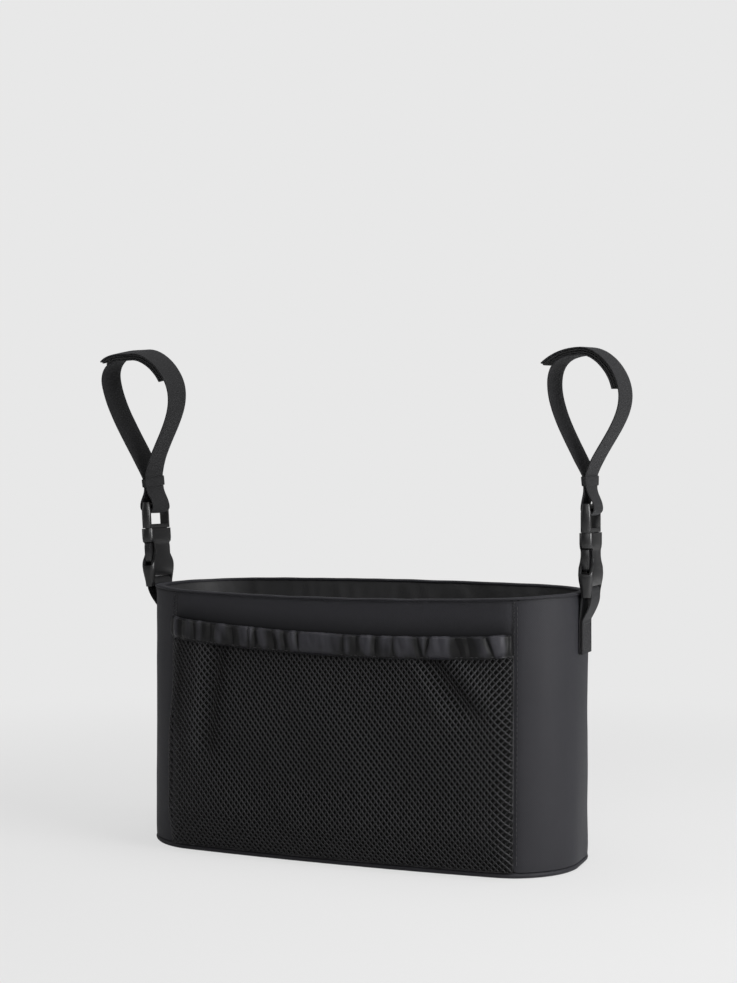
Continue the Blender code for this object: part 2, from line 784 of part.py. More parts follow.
def shifted_path(path, distance):
    """The path moved sideways by a distance, to its left where the distance is positive."""
    moved = []
    for index, point in enumerate(path):
        before = path[max(index - 1, 0)]
        after = path[min(index + 1, len(path) - 1)]
        first = (point - before) if index else (after - point)
        last = (after - point) if index < len(path) - 1 else first
        first.normalize()
        last.normalize()
        bisector = Vector((-(first.y + last.y), first.x + last.x)).normalized()
        stretch = bisector.dot(Vector((-first.y, first.x)))
        moved.append(point + bisector * (distance / stretch))
    return moved


def ribbon(name, path, thickness, width, place, material, parent):
    """Webbing along a path, with its width across the plane and each point set by place."""
    left = shifted_path(path, thickness / 2)
    right = shifted_path(path, -thickness / 2)
    half = width / 2
    sections = []
    for one, other in zip(left, right):
        flat = ((one, -half), (one, half), (other, half), (other, -half))
        sections.append([place(point.x, across, point.y) for point, across in flat])
    return sweep(name, sections, material, parent=parent, angle=40)


def loop_bend(end):
    """A bend above the plug that tips the loop forwards and twists it a little."""
    lean = end["forward_lean"]
    rise = LEAN_END - LEAN_START
    bend_radius = rise / lean

    def place(u, v, w):
        above = w - LEAN_START
        if above <= 0:
            return Vector((u, v, w))
        share = min(1.0, above / rise)
        turn = lean * share
        twist = end["twist"] * share
        across = u * math.cos(twist) - v * math.sin(twist)
        along = u * math.sin(twist) + v * math.cos(twist)
        beyond = max(0.0, above - rise)
        depth = -bend_radius * (1 - math.cos(turn)) - beyond * math.sin(turn)
        height = LEAN_START + bend_radius * math.sin(turn) + beyond * math.cos(turn)
        return Vector((across, depth + along * math.cos(turn), height + along * math.sin(turn)))

    return place


def loop_point(place):
    """A point of the loop's outline, measured from the middle of the keeper's top."""
    return Vector((place[0], KEEPER_TOP + place[1]))


def outer_layer(end):
    """Outer layer from the keeper up its leg, over the top and out to the free tip."""
    throat = loop_point((LAYER_HALF, 0))
    shoulder = loop_point(end["shoulder"])
    top = loop_point(end["top"])
    tip = loop_point(end["tip"])
    leg = LEG_HANDLE * (shoulder - throat).length
    rise = Vector((0, leg))
    leaving = throat + leg * heading(end["outer_leg_angle"])
    path = [throat] + bezier(throat, leaving, shoulder - rise, shoulder, LEG_STEPS)
    upwards = Vector((0, TOP_HANDLE * (top.y - shoulder.y)))
    sideways = Vector((TOP_HANDLE * (shoulder.x - top.x), 0))
    path += bezier(shoulder, shoulder + upwards, top + sideways, top, TOP_STEPS)
    flap = FREE_HANDLE * (tip - top).length
    arriving = tip + flap * heading(TIP_DIP)
    path += bezier(top, top - Vector((flap, 0)), arriving, tip, FREE_STEPS)
    return path


def inner_layer(end):
    """Inner layer from its end under the outer layer, round the corner and down to the keeper."""
    first = LEG_STEPS + end["inner_end_step"]
    last = LEG_STEPS + TOP_STEPS + LEAVE_STEP
    path = shifted_path(outer_layer(end), LAYER_SPACING)[first : last + 1]
    leave = path[-1]
    shoulder = loop_point(end["inner_shoulder"])
    throat = loop_point((-LAYER_HALF, 0))
    corner = CORNER_HANDLE * (shoulder - leave).length
    onwards = corner * (leave - path[-2]).normalized()
    path += bezier(leave, leave + onwards, shoulder + Vector((0, corner)), shoulder, CORNER_STEPS)
    leg = LEG_HANDLE * (shoulder - throat).length
    arriving = throat + leg * heading(math.pi - end["inner_leg_angle"])
    path += bezier(shoulder, shoulder - Vector((0, leg)), arriving, throat, LEG_STEPS)
    return path


def bar_loop():
    """The webbing's slack loop round the plug's bar, below the keeper."""
    foot = Vector((LAYER_HALF, KEEPER_BOTTOM))
    bulge = Vector((BAR_LOOP_HALF, PLUG_BAR_HEIGHT + BAR_LOOP_RISE))
    bottom = Vector((0, PLUG_BAR_HEIGHT - WRAP_RADIUS))
    drop = Vector((0, CORNER_HANDLE * (foot.y - bulge.y)))
    sag = Vector((0, TOP_HANDLE * (bulge.y - bottom.y)))
    under = Vector((TOP_HANDLE * bulge.x, 0))
    half = [foot] + bezier(foot, foot - drop, bulge + drop, bulge, BAR_LOOP_STEPS)
    half += bezier(bulge, bulge - sag, bottom + under, bottom, BAR_LOOP_STEPS)
    return half + [Vector((-point.x, point.y)) for point in half[-2::-1]]


def handle_strap_path(end):
    """One length of webbing: free tip, outer leg, round the plug's bar, inner leg, inner end."""
    return outer_layer(end)[::-1] + bar_loop() + inner_layer(end)[::-1]


def inset_end(path):
    """The path with its last point drawn back by the tape's inset."""
    back = (path[-2] - path[-1]).normalized()
    return path[:-1] + [path[-1] + TAPE_INSET * back]


def make_handle_strap(name, end, materials, parent):
    """The handlebar loop with the hook tape under its outer layer and the pile tape below it."""
    place = loop_bend(end)
    webbing = materials["webbing"]
    path = handle_strap_path(end)
    ribbon(name + "_handle_strap", path, WEBBING_THICKNESS, WEBBING_WIDTH, place, webbing, parent)
    tape = materials["tape"]
    hook_setback = (WEBBING_THICKNESS + HOOK_THICKNESS) / 2 + GAP
    hook_start = LEG_STEPS + end["inner_end_step"]
    hook_path = inset_end(shifted_path(outer_layer(end), hook_setback)[hook_start:])
    ribbon(name + "_hook_tape", hook_path, HOOK_THICKNESS, TAPE_WIDTH, place, tape, parent)
    pile_setback = (WEBBING_THICKNESS + PILE_THICKNESS) / 2 + GAP
    covered = TOP_STEPS - end["inner_end_step"] + LEAVE_STEP + PILE_CORNER_STEPS + 1
    pile_path = shifted_path(inner_layer(end), -pile_setback)[:covered]
    pile_path = inset_end(pile_path[::-1])
    ribbon(name + "_pile_tape", pile_path, PILE_THICKNESS, TAPE_WIDTH, place, tape, parent)


def rounded_ring(half_across, half_up, radius, steps):
    """Points round a rectangle with round corners."""
    ring = []
    for side_across, side_up, start in ((1, 1, 0), (-1, 1, 90), (-1, -1, 180), (1, -1, 270)):
        centre = (side_across * (half_across - radius), side_up * (half_up - radius))
        begin = math.radians(start)
        ring += arc_points(centre, radius, begin, begin + math.pi / 2, steps)
    return ring


def make_strap_keeper(name, end, material, parent):
    """Band sewn round both layers of the strap."""
    place = loop_bend(end)
    thin = LAYER_HALF + WEBBING_THICKNESS / 2 + GAP
    wide = WEBBING_WIDTH / 2 + GAP
    inner = rounded_ring(thin, wide, GAP, 2)
    outer = rounded_ring(thin + KEEPER_THICKNESS, wide + KEEPER_THICKNESS, KEEPER_THICKNESS, 2)
    sections = []
    low = KEEPER_BOTTOM
    high = KEEPER_TOP
    for inside, outside in zip(inner, outer):
        corners = ((inside, low), (outside, low), (outside, high), (inside, high))
        sections.append([place(point.x, point.y, up) for point, up in corners])
    return sweep(name + "_strap_keeper", sections, material, closed=True, parent=parent, angle=50)


# Anchor tabs
def make_anchor_tab(name, end, material):
    """Webbing folded round the socket's bar, both ends sewn flat to the end wall."""
    inner = GAP + WEBBING_THICKNESS / 2
    outer = inner + WEBBING_THICKNESS + GAP
    centre = Vector((end["bar_outset"], BAR_HEIGHT))
    inner_bend = Vector((inner, TAB_SEAM_TOP))
    outer_bend = Vector((outer, TAB_SEAM_TOP + GAP))
    start = tangent_angle(inner_bend, centre, WRAP_RADIUS, -1) % (2 * math.pi)
    finish = tangent_angle(outer_bend, centre, WRAP_RADIUS, 1)
    path = [Vector((inner, TAB_FOOT_HEIGHT)), inner_bend]
    path += arc_points(centre, WRAP_RADIUS, start, finish, WRAP_STEPS)
    path += [outer_bend, Vector((outer, TAB_FOOT_HEIGHT))]
    side = end["side"]

    def place(u, v, w):
        return Vector((side * (HALF_LENGTH + u), v, w))

    return ribbon(
        name + "_anchor_tab", path, WEBBING_THICKNESS, WEBBING_WIDTH, place, material, None
    )


# Side-release buckle
def loft_sizes(height, half_widths, depths, stops):
    """Half width and half depth at a height, eased between the stops."""
    for index in range(len(stops) - 1):
        if height <= stops[index + 1]:
            share = (height - stops[index]) / (stops[index + 1] - stops[index])
            wide = blend(half_widths[index], half_widths[index + 1], share)
            deep = blend(depths[index], depths[index + 1], share)
            return wide, deep / 2
    return half_widths[-1], depths[-1] / 2


def moulded_section(height, half_width, half_depth):
    """Rounded section of a moulding, flat on its faces."""
    ring = rounded_ring(half_depth, half_width, half_depth * MOULDED_ROUND, 3)
    return [Vector((point.x, point.y, height)) for point in ring]


def make_socket(name, material, parent):
    """Female half: hollow body with scalloped side windows and a bar for the tab."""
    stops = (-SOCKET_FOOT, BELLY_HEIGHT, WAIST_HEIGHT, COLLAR_HEIGHT, SOCKET_LENGTH)
    widths = (
        SOCKET_LOBE_HALF,
        SOCKET_BELLY_HALF,
        SOCKET_WAIST_HALF,
        SOCKET_COLLAR_HALF,
        SOCKET_COLLAR_HALF,
    )
    depths = (
        SOCKET_LOBE_DEPTH,
        SOCKET_BELLY_DEPTH,
        SOCKET_WAIST_DEPTH,
        SOCKET_COLLAR_DEPTH,
        SOCKET_COLLAR_DEPTH,
    )
    heights = []
    for low, high, steps in zip(stops, stops[1:], (4, 4, 2, 1)):
        heights += [low + (high - low) * step / steps for step in range(steps)]
    heights.append(SOCKET_LENGTH)
    sections = [moulded_section(up, *loft_sizes(up, widths, depths, stops)) for up in heights]
    socket = sweep(name + "_buckle_socket", sections, material, parent=parent)
    cavity = prism(name + " cavity", cavity_outline(), CAVITY_DEPTH / 2, material, parent)
    combine(socket, cavity, "DIFFERENCE")
    for side in (-1, 1):
        outline = window_outline(side)
        window = prism(name + " window" + str(side), outline, SOCKET_BELLY_DEPTH, material, parent)
        combine(socket, window, "DIFFERENCE")
    slot = box(
        name + " slot",
        (-SOCKET_BELLY_DEPTH, -SLOT_HALF, -2 * SOCKET_FOOT),
        (SOCKET_BELLY_DEPTH, SLOT_HALF, SOCKET_FACE_BOTTOM),
        material,
        parent,
    )
    combine(socket, slot, "DIFFERENCE")
    bar_half = (SLOT_HALF + SOCKET_LOBE_HALF) / 2
    lower_bar = bar(name + " lower bar", 0, bar_half, material, parent)
    combine(socket, lower_bar, "UNION")
    return socket


def cavity_outline():
    """The hollow for the plug, open at its mouth and through both sides beside the arms."""
    past = SOCKET_BELLY_HALF + FORK_CLEARANCE
    side_floor = ARM_TIP - TIP_CLEARANCE
    half = [
        (CAVITY_HALF, SOCKET_LENGTH + FORK_CLEARANCE),
        (CAVITY_HALF, WINDOW_TOP),
        (past, WINDOW_TOP),
        (past, side_floor),
        (CAVITY_HALF, side_floor),
        (CAVITY_HALF - FORK_CLEARANCE, CAVITY_FLOOR),
    ]
    return half + [(-across, up) for across, up in reversed(half)]


def window_outline(side):
    """Scalloped side window: a ledge at the top, where the arm latches, and a long slope below."""
    past = SOCKET_BELLY_HALF + FORK_CLEARANCE
    ledge = CAVITY_HALF - FORK_CLEARANCE
    shape = [(past, WINDOW_TOP)]
    for step in range(4):
        turn = math.pi / 2 * step / 3
        across = ledge - (ledge - WINDOW_REACH) * math.sin(turn)
        up = WINDOW_TOP - (WINDOW_TOP - WINDOW_DEEPEST) * (1 - math.cos(turn))
        shape.append((across, up))
    for step in range(1, 6):
        up = WINDOW_DEEPEST + (WINDOW_BOTTOM - WINDOW_DEEPEST) * step / 5
        shape.append((blend(WINDOW_REACH, past, step / 5), up))
    return [(side * across, up) for across, up in shape]


def fork_outline():
    """Half outline of the plug's plate, spring arm and guide tongue, from the top down."""
    plate = CAVITY_HALF - FORK_CLEARANCE
    latch = WINDOW_TOP - LATCH_CLEARANCE
    pad = SOCKET_WAIST_HALF + FORK_CLEARANCE
    inside = pad - ARM_TIP_WIDTH
    root = latch + ARM_ROOT_RISE
    return (
        (plate, PLUG_SHOULDER + FORK_CLEARANCE),
        (plate, latch + FORK_CLEARANCE),
        (pad - PAD_ROUND, latch),
        (pad, latch - PAD_SHOULDER),
        (pad, latch - PAD_LENGTH),
        (pad - ARM_TIP_ROUND / 2, ARM_TIP + ARM_TIP_ROUND),
        ((pad + inside) / 2, ARM_TIP),
        (inside + PAD_ROUND, ARM_TIP + ARM_TIP_ROUND / 2),
        (inside, ARM_TIP + ARM_TIP_LENGTH),
        (plate - ARM_ROOT_WIDTH, latch - ARM_TIP_ROUND),
        (plate - ARM_ROOT_WIDTH - PAD_ROUND, root - ROOT_FILLET),
        (plate - ARM_ROOT_WIDTH - PAD_ROUND - ROOT_FILLET, root),
        (TONGUE_HALF + ROOT_FILLET, root),
        (TONGUE_HALF, root - ROOT_FILLET),
        (TONGUE_HALF - TONGUE_TAPER, ARM_TIP),
        (TONGUE_HALF - TONGUE_POINT, ARM_TIP - TONGUE_POINT),
    )


def make_plug(name, material, parent):
    """Male half: open head with its bar, and below it a plate, two spring arms and a tongue."""
    half_depth = PLUG_HEAD_DEPTH / 2
    heights = (
        PLUG_SHOULDER,
        PLUG_SHOULDER + PLUG_HEAD_EDGE,
        PLUG_TOP - PLUG_TAPER_LENGTH,
        PLUG_TOP,
    )
    tapers = (0, 0, 0, PLUG_TAPER)
    widths = [PLUG_HEAD_HALF - taper for taper in tapers]
    deeps = [half_depth - taper for taper in tapers]
    sections = [moulded_section(*sizes) for sizes in zip(heights, widths, deeps)]
    plug = sweep(name + "_buckle_plug", sections, material, parent=parent)
    half = list(fork_outline())
    outline = half + [(-across, up) for across, up in reversed(half)]
    fork = prism(name + " fork", outline, FORK_THICKNESS / 2, material, parent)
    combine(plug, fork, "UNION")
    window = box(
        name + " head window",
        (-PLUG_HEAD_DEPTH, -SLOT_HALF, PLUG_WINDOW_BOTTOM),
        (PLUG_HEAD_DEPTH, SLOT_HALF, PLUG_TOP + FORK_CLEARANCE),
        material,
        parent,
    )
    combine(plug, window, "DIFFERENCE")
    bar_half = (SLOT_HALF + PLUG_HEAD_HALF) / 2
    upper_bar = bar(name + " upper bar", PLUG_BAR_HEIGHT, bar_half, material, parent)
    combine(plug, upper_bar, "UNION")
    return plug


def empty(name, parent=None):
    """An empty that carries other pieces."""
    item = bpy.data.objects.new(name, None)
    bpy.context.scene.collection.objects.link(item)
    item.parent = parent
    return item


def make_strap_end(name, end, materials):
    """The strap set at one end, in the frame of its lower bar."""
    make_anchor_tab(name, end, materials["webbing"])
    frame = empty(name + " buckle frame")
    frame.location = (end["side"] * (HALF_LENGTH + end["bar_outset"]), 0, BAR_HEIGHT)
    frame.rotation_euler = (0, end["buckle_lean"], 0)
    make_socket(name, materials["plastic"], frame)
    slide = empty(name + " plug slide", frame)
    make_plug(name, materials["plastic"], slide)
    make_handle_strap(name, end, materials, slide)
    make_strap_keeper(name, end, materials["webbing"], slide)


def build():
    """Make the whole organizer."""
    clear_scene()
    materials = make_materials()
    make_wall_layers(materials)
    make_base(materials)
    make_base_piping(materials["shell"])
    make_rim_binding(materials["shell"])
    make_mesh_pocket(materials["net"])
    make_pocket_hem(materials["hem"])
    make_pocket_elastic(materials["elastic"])
    make_strap_end("left", LEFT_END, materials)
    make_strap_end("right", RIGHT_END, materials)


build()
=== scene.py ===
import math

import bpy
import numpy as np
from mathutils import Matrix, Vector, noise


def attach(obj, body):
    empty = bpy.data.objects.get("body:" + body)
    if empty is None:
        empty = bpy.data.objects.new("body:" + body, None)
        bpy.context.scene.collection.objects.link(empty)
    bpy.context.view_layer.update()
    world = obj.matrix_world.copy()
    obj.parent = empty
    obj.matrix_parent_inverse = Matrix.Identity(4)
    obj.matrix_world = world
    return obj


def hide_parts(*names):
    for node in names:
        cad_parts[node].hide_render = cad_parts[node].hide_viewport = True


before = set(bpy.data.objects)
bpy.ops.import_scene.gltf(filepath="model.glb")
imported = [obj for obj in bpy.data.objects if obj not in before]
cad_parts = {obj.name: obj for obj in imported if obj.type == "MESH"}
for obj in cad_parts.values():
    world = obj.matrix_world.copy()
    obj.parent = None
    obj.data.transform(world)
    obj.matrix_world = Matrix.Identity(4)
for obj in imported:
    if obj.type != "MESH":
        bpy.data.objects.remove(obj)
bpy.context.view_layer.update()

# Camera: level, in front of the bag and to its right, a little over a metre away.
# Its height is that of the buckles, so the mouth shows only as a thin crescent.
VIEW_POINT = (0.4212, -1.0539, 0.2545)
VIEW_TURN = math.radians(21.7)
PICTURE_HEIGHT = 983  # pixels
PICTURE_SHIFT = -4.5  # pixels
bpy.ops.object.select_all(action="DESELECT")
bpy.ops.object.camera_add(location=VIEW_POINT, rotation=(math.radians(90), 0, VIEW_TURN))
camera = bpy.context.object
camera.data.lens = 58.6
camera.data.sensor_width = 36
camera.data.shift_y = PICTURE_SHIFT / PICTURE_HEIGHT
bpy.context.scene.camera = camera

# Wall panels: four padded panels of coated cloth over foam, sewn to each other in upright seams.
# They are cut straight, bow out a little towards the base, and pucker at their stitching.
BODY_LENGTH = 0.314
BODY_DEPTH = 0.107
BODY_HEIGHT = 0.184
CORNER_RADIUS = 0.044
BASE_BOW = 0.0082
FRONT_RIM_SAG = 0.0047
BACK_RIM_RISE = 0.0025
SEAM_HALF_SPAN = 0.1245
GAP = 0.0003
TUCK_DEPTH = 0.0008
TUCK_HEIGHT = 0.012
WALL_BOTTOM = 0.0041
RIM_COVER = 0.0009
WALL_THICKNESS = 0.0036
WALL_PITCH = 0.0036
PUCKER_HEIGHT = 0.00022
PUCKER_PITCH = 0.0082
PUCKER_REACH = 0.007
SEAM_DIP = 0.0006
SEAM_DIP_WIDTH = 0.0013
SOFT_BORDER = 0.018
BROAD_SOFTNESS = 0.00075
FINE_SOFTNESS = 0.00035
SHELL_COLOUR = (0.0185, 0.0183, 0.0218)
HALF_LENGTH = BODY_LENGTH / 2
CORNER_X = HALF_LENGTH - CORNER_RADIUS
CORNER_Y = BODY_DEPTH / 2 - CORNER_RADIUS
QUARTER = math.pi / 2 * CORNER_RADIUS
HALF_ROUND = 2 * CORNER_X + 2 * QUARTER + 2 * CORNER_Y
SEAM_ALONG = CORNER_X + CORNER_RADIUS * math.asin((SEAM_HALF_SPAN - CORNER_X) / CORNER_RADIUS)


def plan_station(along):
    """Curve centre and facing angle at a distance round the plan from the middle of the front."""
    along %= 2 * HALF_ROUND
    if along >= HALF_ROUND:
        x, y, facing = plan_station(along - HALF_ROUND)
        return -x, -y, facing + math.pi
    if along < CORNER_X:
        return along, -CORNER_Y, -math.pi / 2
    along -= CORNER_X
    if along < QUARTER:
        return CORNER_X, -CORNER_Y, along / CORNER_RADIUS - math.pi / 2
    along -= QUARTER
    if along < 2 * CORNER_Y:
        return CORNER_X, along - CORNER_Y, 0
    along -= 2 * CORNER_Y
    if along < QUARTER:
        return CORNER_X, CORNER_Y, along / CORNER_RADIUS
    return CORNER_X - along + QUARTER, CORNER_Y, math.pi / 2


def tuck_at(height):
    """How far the wall's foot is drawn in to the base seam."""
    return TUCK_DEPTH * max(0.0, 1 - height / TUCK_HEIGHT) ** 2


def bow_at(x, height):
    """How far the front and the back bow out, most at the middle of the base."""
    return BASE_BOW * (1 - height / BODY_HEIGHT) * max(0.0, 1 - (x / HALF_LENGTH) ** 2)


def wall_point(along, offset, height):
    """A point on the wall, offset outwards from its outer face."""
    centre_x, centre_y, facing = plan_station(along)
    reach = CORNER_RADIUS + offset - tuck_at(height)
    x = centre_x + reach * math.cos(facing)
    y = centre_y + reach * math.sin(facing)
    return Vector((x, y + bow_at(x, height) * y / (CORNER_Y + reach), height))


def rim_over(x, y):
    """Height of the mouth's edge: lower along the front and a little higher along the back."""
    share = max(0.0, 1 - (x / HALF_LENGTH) ** 2) * abs(y) / (BODY_DEPTH / 2)
    return BODY_HEIGHT + (BACK_RIM_RISE if y > 0 else -FRONT_RIM_SAG) * share


def rim_height(along):
    """Height of the mouth's edge at a distance round the plan."""
    point = wall_point(along, 0, BODY_HEIGHT)
    return rim_over(point.x, point.y)


def ripple(x, y, size, seed=0.0):
    """Smooth uneven value from about -1 to 1, for soft waves of a size in metres."""
    return noise.noise(Vector((x / size, y / size, seed)))


def laid_grid(name, columns, rows, place, size, round_columns=False, round_rows=False, fill=True):
    """A grid laid point by point on a surface, joined where it goes round, its UV map in metres."""
    bpy.ops.object.select_all(action="DESELECT")
    bpy.ops.mesh.primitive_grid_add(x_subdivisions=columns, y_subdivisions=rows, size=2)
    piece = bpy.context.object
    piece.name = name
    piece.data.name = name
    for vert in piece.data.vertices:
        vert.co = place((vert.co.x + 1) / 2, (vert.co.y + 1) / 2)
    for corner in piece.data.uv_layers.active.data:
        corner.uv = (corner.uv.x * size[0], corner.uv.y * size[1])
    bpy.ops.object.mode_set(mode="EDIT")
    bpy.ops.mesh.select_all(action="SELECT")
    if round_columns or round_rows:
        bpy.ops.mesh.remove_doubles(threshold=0.00001)
    if fill and round_columns != round_rows:
        bpy.ops.mesh.fill_holes(sides=0)
        bpy.ops.mesh.select_all(action="SELECT")
    if round_columns or round_rows:
        bpy.ops.mesh.normals_make_consistent(inside=False)
    bpy.ops.object.mode_set(mode="OBJECT")
    return piece


def grid_border(columns, rows):
    """Indices of a laid grid's outermost points, which its seams hold."""
    return [
        index
        for index in range((columns + 1) * (rows + 1))
        if index % (columns + 1) in (0, columns) or index // (columns + 1) in (0, rows)
    ]


def choose(piece):
    """Make a piece the one selected and active object."""
    bpy.ops.object.select_all(action="DESELECT")
    bpy.context.view_layer.objects.active = piece
    piece.select_set(True)


def finish_mesh(piece, material, angle=40):
    """Give a piece its one material and smooth shading that keeps its crisp edges."""
    piece.data.materials.clear()
    piece.data.materials.append(material)
    choose(piece)
    bpy.ops.object.shade_smooth_by_angle(angle=math.radians(angle))


def apply_modifier(piece, kind, **settings):
    """Add a modifier, set it and apply it to the mesh."""
    choose(piece)
    modifier = piece.modifiers.new(kind.title(), kind)
    for key, value in settings.items():
        setattr(modifier, key, value)
    bpy.ops.object.modifier_apply(modifier=modifier.name)


def settle(piece, pinned, pressure, cap, slack=0.0, gravity=0.0, frames=16):
    """Let cloth settle between its pinned points, and keep every point within the cap of its place."""
    start = [vert.co.copy() for vert in piece.data.vertices]
    group = piece.vertex_groups.new(name="pinned")
    group.add(pinned, 1.0, "REPLACE")
    cloth = piece.modifiers.new("Cloth", "CLOTH")
    cloth.settings.quality = 5
    cloth.settings.mass = 0.05
    cloth.settings.tension_stiffness = 25
    cloth.settings.compression_stiffness = 25
    cloth.settings.bending_stiffness = 0.4
    cloth.settings.vertex_group_mass = "pinned"
    cloth.settings.use_pressure = True
    cloth.settings.uniform_pressure_force = pressure
    cloth.settings.shrink_min = -slack
    cloth.settings.effector_weights.gravity = gravity
    cloth.point_cache.frame_start = 1
    cloth.point_cache.frame_end = frames
    for step in range(1, frames + 1):
        bpy.context.scene.frame_set(step)
    bpy.context.view_layer.objects.active = piece
    bpy.ops.object.modifier_apply(modifier="Cloth")
    bpy.context.scene.frame_set(1)
    for vert, place in zip(piece.data.vertices, start):
        moved = vert.co - place
        if moved.length > cap:
            vert.co = place + moved * (cap / moved.length)
    piece.vertex_groups.remove(piece.vertex_groups["pinned"])


def node_kit(name):
    """A new material with short ways to add nodes and sums to it."""
    material = bpy.data.materials.new(name)
    material.use_nodes = True
    tree = material.node_tree

    def connect(value, socket):
        if isinstance(value, bpy.types.NodeSocket):
            tree.links.new(value, socket)
        elif value is not None:
            socket.default_value = value

    def add(kind, inputs=None, **settings):
        made = tree.nodes.new(kind)
        for key, value in settings.items():
            setattr(made, key, value)
        for key, value in (inputs or {}).items():
            connect(value, made.inputs[key])
        return made

    def maths(operation, first, second=None):
        return add("ShaderNodeMath", {0: first, 1: second}, operation=operation).outputs[0]

    return material, tree.nodes["Principled BSDF"], add, maths, connect


def dye_and_relief_shade(add, height, colour, dark, bright, patch_size):
    """The base colour: painted shade in the relief's hollows, a painted highlight on its crowns, and uneven
    dye in broad patches.
    """
    place = add("ShaderNodeTexCoord").outputs["Object"]
    size = {"Vector": place, "Scale": 1 / patch_size, "Detail": 4.0, "Roughness": 0.6}
    patches = add("ShaderNodeTexNoise", size)
    low = tuple(part * dark for part in colour) + (1.0,)
    high = tuple(part * bright for part in colour) + (1.0,)
    relief = add("ShaderNodeMix", {0: height, 6: low, 7: high}, data_type="RGBA")
    spread = add("ShaderNodeMapRange", {0: patches.outputs["Fac"], 3: 0.86, 4: 1.14})
    scaled = add(
        "ShaderNodeVectorMath", {0: relief.outputs[2], "Scale": spread.outputs[0]}, operation="SCALE"
    )
    return scaled.outputs[0]


def grained(name, kind, relief, inputs, **settings):
    """A new material whose relief is one texture laid on the piece's own Object coordinates."""
    material, shader, add, _, connect = node_kit(name)
    texture = add(kind, {"Vector": add("ShaderNodeTexCoord").outputs["Object"], **inputs}, **settings)
    height = texture.outputs["Distance" if kind == "ShaderNodeTexVoronoi" else "Fac"]
    bump = add("ShaderNodeBump", {"Distance": relief, "Height": height})
    connect(bump.outputs[0], shader.inputs["Normal"])
    return material, shader, add, connect, height


def shaded(add, colour):
    """The colour, darkened by painted shade from the piece's own attribute "shade" where it lies hidden or
    creased.
    """
    dark = add("ShaderNodeAttribute", attribute_name="shade").outputs["Fac"]
    light = add("ShaderNodeMath", {0: 1.0, 1: dark}, operation="SUBTRACT").outputs[0]
    return add("ShaderNodeVectorMath", {0: colour, "Scale": light}, operation="SCALE").outputs[0]


def woven_cloth(name, colour, pitch, relief, roughness, sheen, dark=0.72, bright=1.12):
    """Threads over and under each other on the piece's own UV map, with painted shade between them, uneven
    dye and fine lint.
    """
    material, shader, add, maths, connect = node_kit(name)
    split = add("ShaderNodeSeparateXYZ", {0: add("ShaderNodeUVMap").outputs[0]})
    along, across = split.outputs[0], split.outputs[1]
    warp = maths("SINE", maths("MULTIPLY", along, math.pi / pitch[0]))
    weft = maths("SINE", maths("MULTIPLY", across, math.pi / pitch[1]))
    height = maths("MULTIPLY_ADD", maths("MULTIPLY", warp, weft), 0.5)
    height.node.inputs[2].default_value = 0.5
    place = add("ShaderNodeTexCoord").outputs["Object"]
    lint = add("ShaderNodeTexNoise", {"Vector": place, "Scale": 2600.0, "Detail": 2.0})
    rough = maths("MULTIPLY_ADD", lint.outputs["Fac"], 0.35)
    rough.node.inputs[2].default_value = 0
    bump = add(
        "ShaderNodeBump", {"Strength": 1.0, "Distance": relief, "Height": maths("ADD", height, rough)}
    )
    # Painted shade between the threads and a painted highlight on their crowns, over uneven dye.
    weave_dye_and_shade = dye_and_relief_shade(add, height, colour, dark, bright, 0.05)
    connect(shaded(add, weave_dye_and_shade), shader.inputs["Base Color"])
    connect(bump.outputs[0], shader.inputs["Normal"])
    shader.inputs["Roughness"].default_value = roughness
    shader.inputs["Specular IOR Level"].default_value = 0.22
    shader.inputs["Sheen Weight"].default_value = sheen
    shader.inputs["Sheen Roughness"].default_value = 0.45
    shader.inputs["Sheen Tint"].default_value = (0.82, 0.84, 0.92, 1.0)
    return material


shell_cloth = woven_cloth("shell_cloth", SHELL_COLOUR, (0.00055, 0.00055), 0.00006, 0.58, 0.03)


def set_shade(piece, values):
    """Painted shade: how dark the cloth is painted at each point of a piece, read by its material."""
    layer = piece.data.attributes.new("shade", "FLOAT", "POINT")
    layer.data.foreach_set("value", values)


def belongs(piece, body, slot, *nodes):
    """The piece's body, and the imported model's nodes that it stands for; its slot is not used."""
    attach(piece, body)
    if nodes:
        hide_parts(*nodes)


PANELS = {
    "front": (-SEAM_ALONG, SEAM_ALONG),
    "right_end": (SEAM_ALONG, HALF_ROUND - SEAM_ALONG),
    "back": (HALF_ROUND - SEAM_ALONG, HALF_ROUND + SEAM_ALONG),
    "left_end": (HALF_ROUND + SEAM_ALONG, 2 * HALF_ROUND - SEAM_ALONG),
}
for place_name, (begin, end) in PANELS.items():
    run = end - begin
    columns = round(run / WALL_PITCH)
    rows = round(BODY_HEIGHT / WALL_PITCH)

    def on_wall(u, v, begin=begin, run=run):
        along = begin + GAP / 2 + u * (run - GAP)
        top = rim_height(along) - RIM_COVER
        height = WALL_BOTTOM + v * (top - WALL_BOTTOM)
        from_seam = min(u, 1 - u) * run
        from_edge = min(from_seam, top - height + 0.001, height)
        inner = min(1.0, from_edge / SOFT_BORDER)
        wave = 2 * math.pi * height / PUCKER_PITCH + 2 * ripple(along, height, 0.03)
        soft = BROAD_SOFTNESS * ripple(along, height, 0.07, 3.1)
        soft += FINE_SOFTNESS * ripple(along, height, 0.027, 7.7)
        dip = -SEAM_DIP * math.exp(-((from_seam / SEAM_DIP_WIDTH) ** 2))
        pucker = PUCKER_HEIGHT * math.sin(wave) * math.exp(-from_seam / PUCKER_REACH)
        lift = dip + inner * soft + pucker * min(1.0, from_seam / 0.002)
        return wall_point(along, lift, height)

    panel = laid_grid(place_name + "_wall", columns, rows, on_wall, (run, BODY_HEIGHT))
    settle(panel, grid_border(columns, rows), pressure=0.6, cap=0.0011)
    apply_modifier(panel, "SUBSURF", levels=1, render_levels=1)
    apply_modifier(panel, "SOLIDIFY", thickness=WALL_THICKNESS, offset=-1, use_rim=True)
    finish_mesh(panel, shell_cloth)
    belongs(panel, "bag", "shell_cloth", place_name + "_panel", place_name + "_padding")

